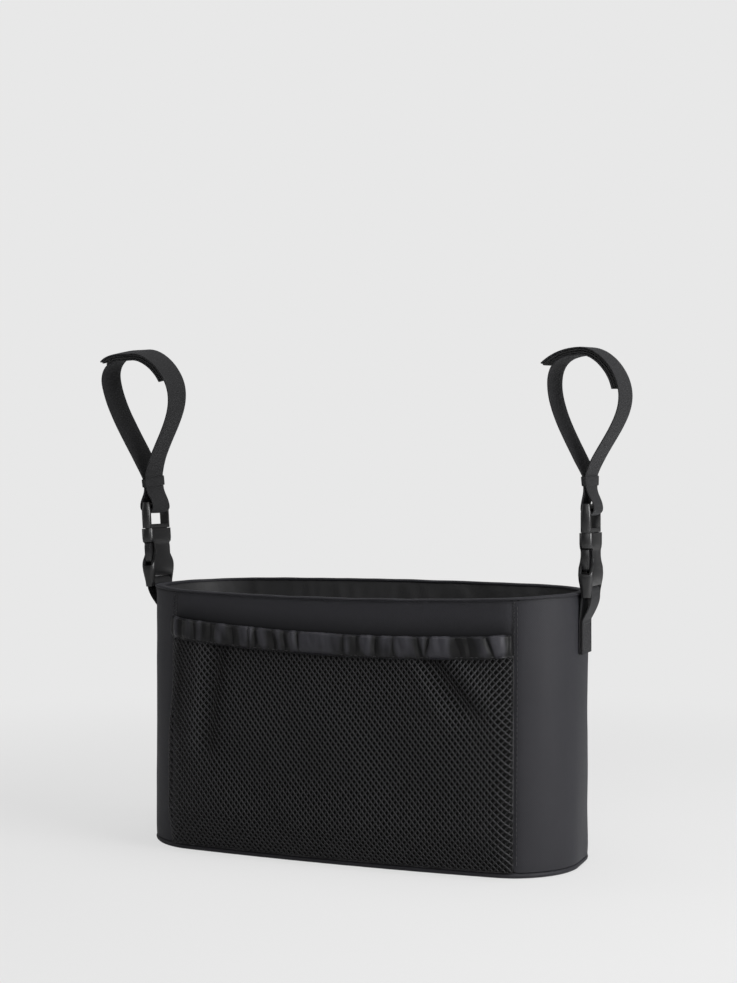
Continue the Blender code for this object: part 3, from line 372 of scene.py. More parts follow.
# Base: the same coated cloth, cut oval and sewn in under a stiff board of black plastic.
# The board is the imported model's own solid, shut in between the cloth and the lining.
BASE_OFFSET = -0.0032


def base_place(height, offset, relief):
    """Places a round fan of cloth from the middle of the base out to the foot of the wall."""

    def place(u, v):
        edge = wall_point(2 * HALF_ROUND * u, offset, 0)
        x, y = edge.x * v, edge.y * v
        return Vector((x, y, height + relief * (1 - v) * (0.5 + 0.5 * ripple(x, y, 0.04, 5.0))))

    return place


underside = laid_grid(
    "base_cloth", 160, 24, base_place(0.0, BASE_OFFSET, 0.0), (0.76, 0.06), True, fill=False
)
apply_modifier(underside, "SOLIDIFY", thickness=0.0008, offset=-1)
finish_mesh(underside, shell_cloth)
belongs(underside, "bag", "shell_cloth", "base_panel")

board_plastic, board_shader = grained(
    "board_plastic", "ShaderNodeTexNoise", 0.0001, {"Scale": 900.0, "Detail": 3.0}
)[:2]
board_shader.inputs["Base Color"].default_value = (0.05, 0.05, 0.05, 1.0)
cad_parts["base_board"].data.materials.clear()
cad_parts["base_board"].data.materials.append(board_plastic)

# Base piping: a cord covered in the shell cloth, caught in the seam between walls and base.
# The cover pulls into small dents where the seam's stitches hold it.
PIPING_RADIUS = 0.0019
PIPING_OFFSET = -0.0011
PIPING_STITCH_PITCH = 0.0042
PIPING_DENT = 0.00010
PIPING_SOFTNESS = 0.00006


def on_piping(u, v):
    along = 2 * HALF_ROUND * u
    turn = 2 * math.pi * v
    dent = PIPING_DENT * math.sin(2 * math.pi * along / PIPING_STITCH_PITCH) * max(0.0, math.sin(turn))
    radius = PIPING_RADIUS - PIPING_SOFTNESS + dent + PIPING_SOFTNESS * ripple(along, 0, 0.011)
    place = wall_point(along, PIPING_OFFSET + radius * math.cos(turn), 0)
    return Vector((place.x, place.y, PIPING_RADIUS + radius * math.sin(turn)))


piping = laid_grid(
    "base_piping_cover", 560, 12, on_piping, (0.76, 0.012), round_columns=True, round_rows=True
)
finish_mesh(piping, shell_cloth, 70)
belongs(piping, "bag", "shell_cloth", "base_piping")

# Lining: thin black cloth hung inside the padding, cut with some slack, so that it wrinkles.
# Its floor lies on the board.
LINING_OFFSET = -0.0050
LINING_COLOUR = (0.037, 0.037, 0.038)
FLOOR_TOP = 0.0043
LINING_COLUMNS = 190
LINING_ROWS = 44
LINING_FOLD = 0.0009
LINING_CREASE = 0.0006
lining_cloth = woven_cloth("lining_cloth", LINING_COLOUR, (0.0004, 0.0004), 0.00004, 0.5, 0.08)


def on_lining(u, v):
    along = 2 * HALF_ROUND * u
    top = rim_height(along) - RIM_COVER
    height = FLOOR_TOP + v * (top - FLOOR_TOP)
    free = math.sin(math.pi * min(1.0, max(0.0, v)))
    fold = LINING_FOLD * (1 + ripple(along, height * 0.35, 0.022, 2.0)) * free
    crease = LINING_CREASE * max(0.0, ripple(along, height * 0.2, 0.009, 4.0)) * free
    return wall_point(along, LINING_OFFSET - fold - crease, height)


lining = laid_grid(
    "wall_lining", LINING_COLUMNS, LINING_ROWS, on_lining, (2 * HALF_ROUND, BODY_HEIGHT)
)
fixed = grid_border(LINING_COLUMNS, LINING_ROWS)
settle(lining, fixed, pressure=0.0, cap=0.0022, slack=0.025, gravity=0.6)
for vert in lining.data.vertices:
    along = 2 * HALF_ROUND * (vert.index % (LINING_COLUMNS + 1)) / LINING_COLUMNS
    limit = wall_point(along, LINING_OFFSET, vert.co.z)
    inwards = Vector((-limit.x, -limit.y, 0)).normalized()
    if (vert.co - limit).dot(inwards) < 0:
        vert.co.x, vert.co.y = limit.x, limit.y
apply_modifier(lining, "WELD", merge_threshold=0.00001)
apply_modifier(lining, "SUBSURF", levels=1, render_levels=1)
apply_modifier(lining, "SOLIDIFY", thickness=0.0004, offset=0)
finish_mesh(lining, lining_cloth, 60)
belongs(lining, "bag", "lining_cloth", "lining_wall")

lining_base = laid_grid(
    "floor_lining", 160, 24, base_place(0.0037, LINING_OFFSET, 0.0012), (0.76, 0.06), True, fill=False
)
apply_modifier(lining_base, "SOLIDIFY", thickness=0.0004, offset=1)
finish_mesh(lining_base, lining_cloth, 60)
belongs(lining_base, "bag", "lining_cloth", "lining_floor")

# Rim binding: a strip of shell cloth folded over all the layers of the mouth and topstitched.
# The stitch line pinches it, so the edge above stands out as a soft roll.
BINDING_HEIGHT = 0.0032
BINDING_OUT = 0.0009
BINDING_IN = -0.0062
STITCH_DROP = 0.0018
RIM_STITCH_PITCH = 0.0041
GROOVE_HALF = 0.0005
GROOVE_PAINTED_SHADE = 0.92


def on_binding(u, v):
    along = 2 * HALF_ROUND * u
    top = rim_height(along) + 0.00025 * ripple(along, 0, 0.02, 9.0)
    wave = 0.00012 * math.sin(2 * math.pi * along / RIM_STITCH_PITCH)
    path = (
        (BINDING_OUT - 0.0006, -BINDING_HEIGHT),
        (BINDING_OUT - 0.0006, -STITCH_DROP - GROOVE_HALF),
        (BINDING_OUT - 0.0012 + wave, -STITCH_DROP),
        (BINDING_OUT, -0.0011),
        (BINDING_OUT, -0.0005),
        (BINDING_OUT - 0.0006, -0.0001),
        (-0.0015, 0.0001),
        (-0.0038, 0.0001),
        (BINDING_IN + 0.0007, -0.0001),
        (BINDING_IN + 0.0001, -0.0005),
        (BINDING_IN, -0.0011),
        (BINDING_IN + 0.0003, -STITCH_DROP),
        (BINDING_IN + 0.0005, -STITCH_DROP),
        (BINDING_IN + 0.0007, -0.0012),
        (BINDING_OUT - 0.0016, -0.0012),
        (BINDING_OUT - 0.0014, -BINDING_HEIGHT),
    )
    offset, drop = path[round(v * len(path)) % len(path)]
    return wall_point(along, offset, top + drop)


binding = laid_grid(
    "rim_binding_tape", 560, 16, on_binding, (0.76, 0.02), round_columns=True, round_rows=True
)
finish_mesh(binding, shell_cloth, 65)
# Painted shade: the binding's outer side is darkened along the groove that the stitch line pinches under
# the roll.
groove_painted_shade = []
for vert in binding.data.vertices:
    x, y, z = vert.co
    drop = rim_over(x, y) - z
    offset = math.hypot(max(0.0, abs(x) - CORNER_X), max(0.0, abs(y) - CORNER_Y)) - CORNER_RADIUS
    dark = GROOVE_PAINTED_SHADE * math.exp(-(((drop - STITCH_DROP) / GROOVE_HALF) ** 2))
    groove_painted_shade.append(dark if offset > -0.002 else 0.0)
set_shade(binding, groove_painted_shade)
belongs(binding, "bag", "shell_cloth", "rim_binding")

# Thread: black polyester, one short barrel-shaped stitch modelled once and copied along each seam.
# The mouth is topstitched, the upright seams have a row each, and bar tacks hold the pocket's ends.
THREAD_RADIUS = 0.00022
STITCH_SHARE = 0.78
THREAD_COLOUR = (0.014, 0.014, 0.016)
SEAM_STITCH_INSET = 0.0021
SEAM_STITCH_START = 0.008
SEAM_STITCH_PITCH = 0.0036
SEAM_STITCH_COUNT = 48
thread_black, thread_shader, add, connect, twist = grained(
    "thread", "ShaderNodeTexWave", 0.00006, {"Scale": 900.0, "Distortion": 1.5},
    bands_direction="DIAGONAL",
)
# Painted shade in the twist's grooves and a painted highlight on its ridges, over uneven dye.
thread_dye_and_relief_shade = dye_and_relief_shade(add, twist, THREAD_COLOUR, 0.6, 1.3, 0.02)
connect(thread_dye_and_relief_shade, thread_shader.inputs["Base Color"])
thread_shader.inputs["Roughness"].default_value = 0.45
thread_shader.inputs["Sheen Weight"].default_value = 0.03

bpy.ops.object.select_all(action="DESELECT")
bpy.ops.mesh.primitive_uv_sphere_add(segments=8, ring_count=5, radius=1)
one_stitch = bpy.context.object
bpy.ops.object.mode_set(mode="EDIT")
bpy.ops.mesh.select_all(action="SELECT")
bpy.ops.transform.rotate(value=math.pi / 2, orient_axis="Y", center_override=(0, 0, 0))
bpy.ops.object.mode_set(mode="OBJECT")
STITCH_POINTS = np.array([vert.co for vert in one_stitch.data.vertices])
STITCH_POINTS[:, 0] = np.sign(STITCH_POINTS[:, 0]) * np.abs(STITCH_POINTS[:, 0]) ** 0.7
STITCH_FACES = [list(face.vertices) for face in one_stitch.data.polygons]
bpy.data.objects.remove(one_stitch)


def placed(name, mesh):
    """A new piece of the scene, made of a finished mesh."""
    piece = bpy.data.objects.new(name, mesh)
    bpy.context.scene.collection.objects.link(piece)
    bpy.context.view_layer.update()
    return piece


def sew(name, stitches):
    """One piece of thread from its stitches, each a middle, a direction, an outward side and a length."""
    points = []
    faces = []
    for middle, direction, outward, length in stitches:
        ahead = direction.normalized()
        side = outward.cross(ahead).normalized()
        up = ahead.cross(side)
        for x, y, z in STITCH_POINTS:
            spot = middle + ahead * (x * length / 2) + side * (y * THREAD_RADIUS)
            points.append(spot + up * (z * THREAD_RADIUS - (x * x) * THREAD_RADIUS))
        first = len(points) - len(STITCH_POINTS)
        faces += [[first + index for index in face] for face in STITCH_FACES]
    mesh = bpy.data.meshes.new(name)
    mesh.from_pydata(points, [], faces)
    piece = placed(name, mesh)
    finish_mesh(piece, thread_black, 80)
    return piece


def sewn_row(points, outwards):
    """Stitches along a row of points that are one stitch apart."""
    row = []
    for here, there, outward in zip(points, points[1:], outwards):
        row.append(((here + there) / 2, there - here, outward, (there - here).length * STITCH_SHARE))
    return row


def outward_at(along):
    """The direction that the wall faces."""
    facing = plan_station(along)[2]
    return Vector((math.cos(facing), math.sin(facing), 0))


rim_count = round(2 * HALF_ROUND / RIM_STITCH_PITCH)
rim_alongs = [2 * HALF_ROUND * step / rim_count for step in range(rim_count + 1)]
rim_row = [
    wall_point(along, BINDING_OUT - 0.0011, rim_height(along) - STITCH_DROP) for along in rim_alongs
]
stitches = sewn_row(rim_row, [outward_at(along) for along in rim_alongs])
for seam, inwards in (
    (SEAM_ALONG, 1),
    (-SEAM_ALONG, -1),
    (HALF_ROUND - SEAM_ALONG, -1),
    (HALF_ROUND + SEAM_ALONG, 1),
):
    along = seam + inwards * SEAM_STITCH_INSET
    heights = [SEAM_STITCH_START + SEAM_STITCH_PITCH * step for step in range(SEAM_STITCH_COUNT)]
    column = [wall_point(along, 0.0001, height) for height in heights]
    stitches += sewn_row(column, [outward_at(along)] * len(column))
threads = sew("seam_thread", stitches)
belongs(threads, "bag", "shell_cloth")

# Net pocket: knitted net with staggered cells of about 4 mm, sewn in at the sides and the base.
# It stands full off the wall and is drawn in by the hem, so folds run down from its top corners.
POCKET_FULLNESS = 0.0100
POCKET_MOUTH = 0.0068
POCKET_SIDE_RISE = 0.020
POCKET_BELLY_RISE = 0.006
POCKET_BASE_RISE = 0.030
HEM_HEIGHT = 0.0150
HEM_LEFT_TOP = 0.1638
HEM_MIDDLE_TOP = 0.1560
HEM_RIGHT_TOP = 0.1587
NET_COLUMNS = 64
NET_ROWS = 29
NET_STRAND = 0.00135
NET_COLOUR = (0.036, 0.036, 0.038)
FOLD_START = 0.143
FOLD_FADE = 0.02
# Painted shade on the net's strands: those that face away from the key lamp are darkened, valley folds get
# a painted shadow and ridge folds a painted highlight.
AWAY_STRAND_PAINTED_SHADE = 0.58
VALLEY_PAINTED_SHADOW = 0.34
RIDGE_PAINTED_HIGHLIGHT = -0.25
TURNED_PLACE = 0.074
TURNED_DRIFT = 0.85
TURNED_LOWEST = 0.102
# Folds: place at the hem, drift sideways for each metre down, reach, rise, squeeze, lowest point
NET_FOLDS = (
    (-0.1155, 0.00, 0.0030, -0.0012, 0.30, 0.075),
    (-0.0990, -0.05, 0.0060, 0.0012, 0.00, 0.060),
    (-0.0835, -0.08, 0.0050, -0.0020, 0.40, 0.060),
    (0.0565, 0.63, 0.0065, 0.0015, 0.00, 0.090),
    (0.0700, 0.85, 0.0065, -0.0022, 0.28, 0.095),
    (0.0880, 0.75, 0.0070, 0.0016, 0.00, 0.105),
)


def eased(start, finish, share):
    """Ease from one value to another."""
    share = min(1.0, max(0.0, share))
    return start + (finish - start) * share * share * (3 - 2 * share)


def hem_top(x):
    """Height of the pocket's mouth."""
    across = x / SEAM_HALF_SPAN
    rise = (HEM_LEFT_TOP + HEM_RIGHT_TOP) / 2 - HEM_MIDDLE_TOP
    return HEM_MIDDLE_TOP + rise * across**2 + (HEM_RIGHT_TOP - HEM_LEFT_TOP) / 2 * across


def front_face(x, height):
    """Y of the front wall's outer face."""
    beyond = max(0.0, abs(x) - CORNER_X)
    depth = CORNER_Y + math.sqrt(CORNER_RADIUS**2 - beyond**2)
    return -(depth - tuck_at(height) + bow_at(x, height) * depth / (BODY_DEPTH / 2))


def side_fullness(x, rise=POCKET_SIDE_RISE):
    """0 at the two seams and 1 away from them."""
    share = min(1.0, max(0.0, (SEAM_HALF_SPAN - abs(x)) / rise))
    return math.sin(share * math.pi / 2) ** 0.8


def pocket_standoff(x, height):
    """How far the net stands off the front wall."""
    low_share = min(1.0, max(0.0, (height - WALL_BOTTOM) / POCKET_BASE_RISE))
    hem_bottom = hem_top(x) - HEM_HEIGHT
    high_share = (height - hem_bottom * 0.55) / (hem_bottom * 0.45)
    full = eased(POCKET_FULLNESS, POCKET_MOUTH, high_share)
    rise = eased(POCKET_BELLY_RISE, POCKET_SIDE_RISE, high_share)
    return 0.0012 + full * math.sin(low_share * math.pi / 2) * side_fullness(x, rise)


def folds_at(x, height):
    """Each fold's distance, share, rise and squeeze at a place on the net."""
    for place, drift, reach, rise, squeeze, lowest in NET_FOLDS:
        away = x - place - drift * (FOLD_START - height)
        share = math.exp(-((away / reach) ** 2)) * eased(0, 1, (height - lowest) / FOLD_FADE)
        yield away, share, rise, squeeze


def on_net(u, v):
    """A point of the net, pushed out and gathered by its folds."""
    x = (SEAM_HALF_SPAN - 0.0004) * (2 * u - 1)
    top = hem_top(x) - HEM_HEIGHT + 0.0008
    height = WALL_BOTTOM + GAP + v * (top - WALL_BOTTOM - GAP)
    free = side_fullness(x) * min(1.0, height / 0.03)
    lift = free * 0.0011 * ripple(x + 0.4 * height, height * 0.5, 0.035, 1.3)
    pull = 0.0
    for away, share, rise, squeeze in folds_at(x, height):
        lift += rise * free * share
        pull += squeeze * away * free * share
    x -= pull
    lift = max(0.0006, lift + pocket_standoff(x, height))
    turn = math.asin(max(0.0, abs(x) - CORNER_X) / CORNER_RADIUS)
    sideways = math.copysign(lift * math.sin(turn), x)
    return Vector((x + sideways, front_face(x, height) - lift * math.cos(turn), height))


net_cloth, net_shader, add, connect, fuzz = grained(
    "net_cloth", "ShaderNodeTexNoise", 0.00012, {"Scale": 1800.0, "Detail": 3.0}
)
# Painted shade in the fuzz's hollows and a painted highlight on its crowns, over uneven dye; the strands'
# painted shade goes on top.
net_dye_and_relief_shade = dye_and_relief_shade(add, fuzz, NET_COLOUR, 0.7, 1.3, 0.06)
connect(shaded(add, net_dye_and_relief_shade), net_shader.inputs["Base Color"])
net_shader.inputs["Roughness"].default_value = 0.5
net_shader.inputs["Specular IOR Level"].default_value = 0.2
net_shader.inputs["Sheen Weight"].default_value = 0.02

net = laid_grid("pocket_net", NET_COLUMNS, NET_ROWS, lambda u, v: Vector((u, v, 0)), (1, 1))
choose(net)
bpy.ops.object.mode_set(mode="EDIT")
bpy.ops.mesh.select_mode(type="EDGE")
bpy.ops.mesh.select_all(action="SELECT")
bpy.ops.mesh.poke()
bpy.ops.mesh.select_all(action="DESELECT")
bpy.ops.object.mode_set(mode="OBJECT")
for edge in net.data.edges:
    ends = [net.data.vertices[index].co for index in edge.vertices]
    level = abs(ends[0].y - ends[1].y) < 0.0001 or abs(ends[0].x - ends[1].x) < 0.0001
    border = all(min(abs(point.x), abs(1 - point.x)) < 0.0001 for point in ends) or all(
        min(abs(point.y), abs(1 - point.y)) < 0.0001 for point in ends
    )
    edge.select = level and not border
bpy.ops.object.mode_set(mode="EDIT")
bpy.ops.mesh.dissolve_edges(use_verts=False)
bpy.ops.object.mode_set(mode="OBJECT")
for vert in net.data.vertices:
    vert.co = on_net(vert.co.x, vert.co.y)
apply_modifier(net, "WIREFRAME", thickness=NET_STRAND, use_boundary=True, use_even_offset=False)
finish_mesh(net, net_cloth, 179)


def strand_shade(face):
    """Painted shade and light on each strand: strands of one way, which face away from the key lamp, are
    darkened, and past the turned fold the other way is; valley folds get a painted shadow and ridge folds a
    painted highlight.
    """
    corners = [net.data.vertices[index].co for index in face.vertices]
    sides = [there - here for here, there in zip(corners, corners[1:] + corners[:1])]
    run = max(sides, key=lambda side: side.length)
    x, height = face.center.x, face.center.z
    turned = eased(0, 1, (x - TURNED_PLACE - TURNED_DRIFT * (FOLD_START - height)) / 0.004)
    turned *= eased(0, 1, (height - TURNED_LOWEST) / 0.012)
    dark = AWAY_STRAND_PAINTED_SHADE * (1 - turned if run.x * run.z > 0 else turned)
    for away, share, rise, squeeze in folds_at(x, height):
        dark += share * (VALLEY_PAINTED_SHADOW if rise < 0 else RIDGE_PAINTED_HIGHLIGHT)
    return min(0.9, max(-0.6, dark))


strand_layer = net.data.attributes.new("shade", "FLOAT", "FACE")
strand_layer.data.foreach_set("value", [strand_shade(face) for face in net.data.polygons])
belongs(net, "bag", "net", "mesh_pocket")

# Painted shadow on the front wall: its colour darkens just above the casing and is near black below it,
# where the casing and the net shade it.
front_wall = bpy.data.objects["front_wall"]
hidden = []  # how deep the wall lies in the casing's and the net's shadow
for vert in front_wall.data.vertices:
    above = vert.co.z - hem_top(vert.co.x)
    hidden.append(0.35 * eased(0, 1, 1 - above / 0.014) + 0.58 * eased(0, 1, 0.5 - above / 0.004))
set_shade(front_wall, hidden)

# Pocket hem: a casing of light cloth gathered over flat elastic and sewn to the net's top edge.
# It puckers into uneven upright folds, with one short stretch left flat.
HEM_FOLD_DEPTH = 0.0037
# Creases: place along the front at the casing's top, lean down to its bottom, half-width, depth
CREASES = (
    (-0.1215, 0.0000, 0.0010, 0.6),
    (-0.1137, 0.0004, 0.0012, 0.8),
    (-0.1035, 0.0016, 0.0013, 0.9),
    (-0.0902, 0.0000, 0.0020, 1.0),
    (-0.0863, -0.0014, 0.0010, 0.7),
    (-0.0732, 0.0004, 0.0020, 1.1),
    (-0.0606, 0.0012, 0.0009, 0.7),
    (-0.0557, 0.0000, 0.0012, 0.9),
    (-0.0425, 0.0018, 0.0012, 1.0),
    (-0.0342, 0.0018, 0.0013, 1.0),
    (-0.0242, 0.0022, 0.0009, 0.6),
    (0.0096, 0.0000, 0.0010, 0.5),
    (0.0187, 0.0004, 0.0018, 1.0),
    (0.0326, 0.0004, 0.0013, 0.9),
    (0.0454, 0.0000, 0.0013, 0.7),
    (0.0620, 0.0032, 0.0011, 1.0),
    (0.0700, -0.0024, 0.0009, 0.6),
    (0.0883, 0.0050, 0.0018, 1.1),
    (0.0962, 0.0034, 0.0016, 1.1),
    (0.1087, 0.0058, 0.0009, 0.9),
    (0.1225, 0.0000, 0.0010, 0.6),
)
HEM_COLUMNS = 620
HEM_CHANNEL = 0.0018
HEM_CLOTH = 0.0007
HEM_COLOUR = (0.034, 0.0335, 0.040)
HEM_STITCH_SHARE = 0.10
HEM_STITCH_TURN = -0.148
HEM_STITCH_COUNT = 73
TACK_TOP = 0.1795
TACK_PITCH = 0.00105
TACK_COUNT = 34
TACK_WIDTH = 0.0022
TACK_SLANT = 0.35
hem_cloth = woven_cloth("hem_cloth", HEM_COLOUR, (0.0004, 0.0004), 0.00004, 0.45, 0.03)


def hem_fold(x, share):
    """Depth of the gathers from 0 in a crease to 1 on a puff, at a share of the casing's height."""
    puff = 1.0
    for place, lean, reach, depth in CREASES:
        wander = 0.0006 * ripple(share * 0.01, place, 0.005, 8.0)
        away = abs(x - place - lean * (1 - share) - wander)
        deep = depth * (0.86 + 0.5 * ripple(share * 0.01, 3 * place, 0.006, 4.4))
        puff = min(puff, 1 - min(1.0, deep) * math.exp(-((away / reach / 2.2) ** 1.2)))
    swell = 0.80 + 0.40 * ripple(x, share * 0.004, 0.014, 2.2)
    pinch = 0.30 * eased(1, 0, share / 0.35) * abs(ripple(x, 0, 0.0026, 6.6))
    small = 0.26 * ripple(x + 0.003 * share, share * 0.006, 0.0046, 5.0)
    return max(0.0, (puff + small - pinch) * swell)


def on_hem(u, v):
    """A point round the casing: its back against the wall, its front in gathers."""
    x = (SEAM_HALF_SPAN - GAP) * (2 * u - 1)
    top = hem_top(x)
    back = front_face(x, top - HEM_HEIGHT / 2) - GAP - POCKET_MOUTH * side_fullness(x)
    flat_front = back - HEM_CHANNEL - 2 * HEM_CLOTH
    turn = 2 * math.pi * v
    share = 0.5 + 0.5 * math.sin(turn)
    forward = math.cos(turn) > 0
    bulge = min(1.0, 2.2 * abs(math.cos(turn)))
    middle = (back + flat_front) / 2
    if not forward:
        y = middle + (back - middle) * bulge
        return Vector((x, y, top - HEM_HEIGHT * (1 - share)))
    fold = hem_fold(x, share)
    stitched = math.exp(-(((share - HEM_STITCH_SHARE) / 0.05) ** 2))
    depth = HEM_FOLD_DEPTH * fold * (0.75 + 0.25 * math.sin(math.pi * share)) * (1 - 0.7 * stitched)
    y = middle - ((middle - flat_front) + depth) * bulge
    scallop = 0.0009 * (fold - 0.6) * eased(0, 1, (share - 0.8) / 0.2)
    return Vector((x, y, top - HEM_HEIGHT * (1 - share) + scallop))


hem = laid_grid("pocket_casing", HEM_COLUMNS, 32, on_hem, (0.36, 0.034), round_rows=True)
finish_mesh(hem, hem_cloth, 75)
# Painted shade on the casing: darker in its creases, along its lower edge, at the two seams and towards its
# bottom, and darker to the left, where it turns away from the key lamp.
creased = []
for vert in hem.data.vertices:
    share = (vert.co.z - hem_top(vert.co.x)) / HEM_HEIGHT + 1
    fold = min(1.0, hem_fold(vert.co.x, min(1.0, max(0.0, share))) / 0.85)
    edge = math.exp(-((share / 0.07) ** 2))
    seam = math.exp(-(((SEAM_HALF_SPAN - abs(vert.co.x)) / 0.003) ** 2))
    turned_away = 0.17 * eased(0, 1, (0.08 - vert.co.x) / 0.06)
    dark = 2.1 * max(0.0, 0.95 - fold) + 0.5 * edge + 0.6 * seam + 0.25 * (1 - share) + turned_away
    creased.append(min(0.96, dark))
set_shade(hem, creased)
belongs(hem, "bag", "hem_cloth", "pocket_hem")

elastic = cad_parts["pocket_elastic"]
elastic_rib, elastic_shader = grained(
    "elastic_rib", "ShaderNodeTexWave", 0.0002, {"Scale": 300.0}, bands_direction="Z"
)[:2]
elastic_shader.inputs["Base Color"].default_value = (0.02, 0.02, 0.02, 1.0)
elastic.data.materials.clear()
elastic.data.materials.append(elastic_rib)

hem_row = []
for step in range(HEM_STITCH_COUNT):
    x = (SEAM_HALF_SPAN - 0.003) * (2 * step / (HEM_STITCH_COUNT - 1) - 1)
    across = (x / (SEAM_HALF_SPAN - GAP) + 1) / 2
    hem_row.append(on_hem(across, HEM_STITCH_TURN) + Vector((0, -0.0001, 0)))
hem_stitches = sewn_row(hem_row, [Vector((0, -1, 0))] * len(hem_row))
for side in (-1, 1):
    for step in range(TACK_COUNT):
        along = side * (SEAM_ALONG - 0.0004)
        middle = wall_point(along, 0.0002, TACK_TOP - TACK_PITCH * step)
        slanted = Vector((1, 0, TACK_SLANT if step % 2 else -TACK_SLANT))
        hem_stitches.append((middle, slanted, outward_at(along), TACK_WIDTH))
hem_thread = sew("pocket_thread", hem_stitches)
belongs(hem_thread, "bag", "hem_cloth")

# Anchor tabs: ribbed webbing folded round each socket's bar and box-stitched to the end panels.
# The outer layer stands on the inner one, and both slant out from the seam to the buckle.
WEBBING_WIDTH = 0.025
WEBBING_THICKNESS = 0.0013
WEBBING_COLOUR = (0.0134, 0.0134, 0.0141)
TAB_FOOT_HEIGHT = 0.143
TAB_SEAM_TOP = 0.165
TAB_SLACK = 0.0016
TAB_CROWN = 1.28
TAB_TURN_STEPS = 24
TAB_LEG_STEPS = 16
BOX_SIDE_INSET = 0.0035
BOX_FOOT_INSET = 0.0028
BOX_HEAD_INSET = 0.0020
BOX_STITCH_PITCH = 0.0026
BAR_HEIGHT = 0.184
BAR_RADIUS = 0.0020
WRAP_RADIUS = BAR_RADIUS + GAP + WEBBING_THICKNESS / 2
ENDS = {
    "left": dict(
        side=-1, outset=0.0097, lean=math.radians(-3.5), twist=math.radians(-3.6), forward=math.radians(11),
        shoulder=(0.0313, 0.0631), top=(0.0042, 0.0942), tip=(-0.0226, 0.0904), inner_end=9, sway=0.0,
        inner_shoulder=(-0.0239, 0.0738), outer_leg=math.radians(78), inner_leg=math.radians(74),
        inner_bulge=0.0052,
    ),
    "right": dict(
        side=1, outset=0.0055, lean=0.0, twist=math.radians(-8), forward=math.radians(3),
        shoulder=(0.0272, 0.0540), top=(0.0001, 0.0860), tip=(-0.0274, 0.0764), inner_end=4, sway=-0.026,
        inner_shoulder=(-0.0230, 0.0609), outer_leg=math.radians(72), inner_leg=math.radians(68),
        inner_bulge=0.0036,
    ),
}
webbing_cloth = woven_cloth(
    "webbing_cloth", WEBBING_COLOUR, (0.0011, 0.0009), 0.00010, 0.7, 0.04, 0.75, 1.1
)


def squared(value, power):
    """A sine or cosine raised to a power with its sign kept, which squares off a round section."""
    return math.copysign(abs(value) ** power, value)


def arc_points(centre, radius, start, finish, steps):
    """Points along an arc."""
    turns = [start + (finish - start) * step / steps for step in range(steps + 1)]
    return [centre + radius * Vector((math.cos(turn), math.sin(turn))) for turn in turns]


def touch_angle(point, centre, radius, side):
    """Angle on a circle where a line from the point touches it."""
    away = point - centre
    return math.atan2(away.y, away.x) + side * math.acos(radius / away.length)


def evenly(path, pitch):
    """The path's points at an even pitch."""
    reach = [0.0]
    for here, there in zip(path, path[1:]):
        reach.append(reach[-1] + (there - here).length)
    count = max(2, round(reach[-1] / pitch))
    wanted = np.linspace(0, reach[-1], count + 1)
    across = np.interp(wanted, reach, [point.x for point in path])
    up = np.interp(wanted, reach, [point.y for point in path])
    return [Vector(pair) for pair in zip(across, up)], reach[-1]


def ribbon(name, path, thickness, width, place, pitch=0.0009, rows=24):
    """Flat webbing along a path, with rounded selvedges; place sets each point in the model."""
    path, length = evenly(path, pitch)
    normals = []
    for index in range(len(path)):
        ahead = path[min(index + 1, len(path) - 1)] - path[max(index - 1, 0)]
        normals.append(Vector((-ahead.y, ahead.x)).normalized())

    def on_ribbon(u, v):
        index = min(len(path) - 1, round(u * (len(path) - 1)))
        turn = 2 * math.pi * v
        side = squared(math.cos(turn), 0.35)
        face = squared(math.sin(turn), 0.22)
        edge = 1 - 0.12 * eased(0, 1, (abs(side) - 0.8) / 0.2)
        point = path[index] + normals[index] * (face * edge * thickness / 2)
        wander = 0.00018 * ripple(u * length, 0, 0.012, side)
        return place(point.x, side * width / 2 + wander, point.y)

    return laid_grid(name, len(path) - 1, rows, on_ribbon, (length, 2 * width), round_rows=True)


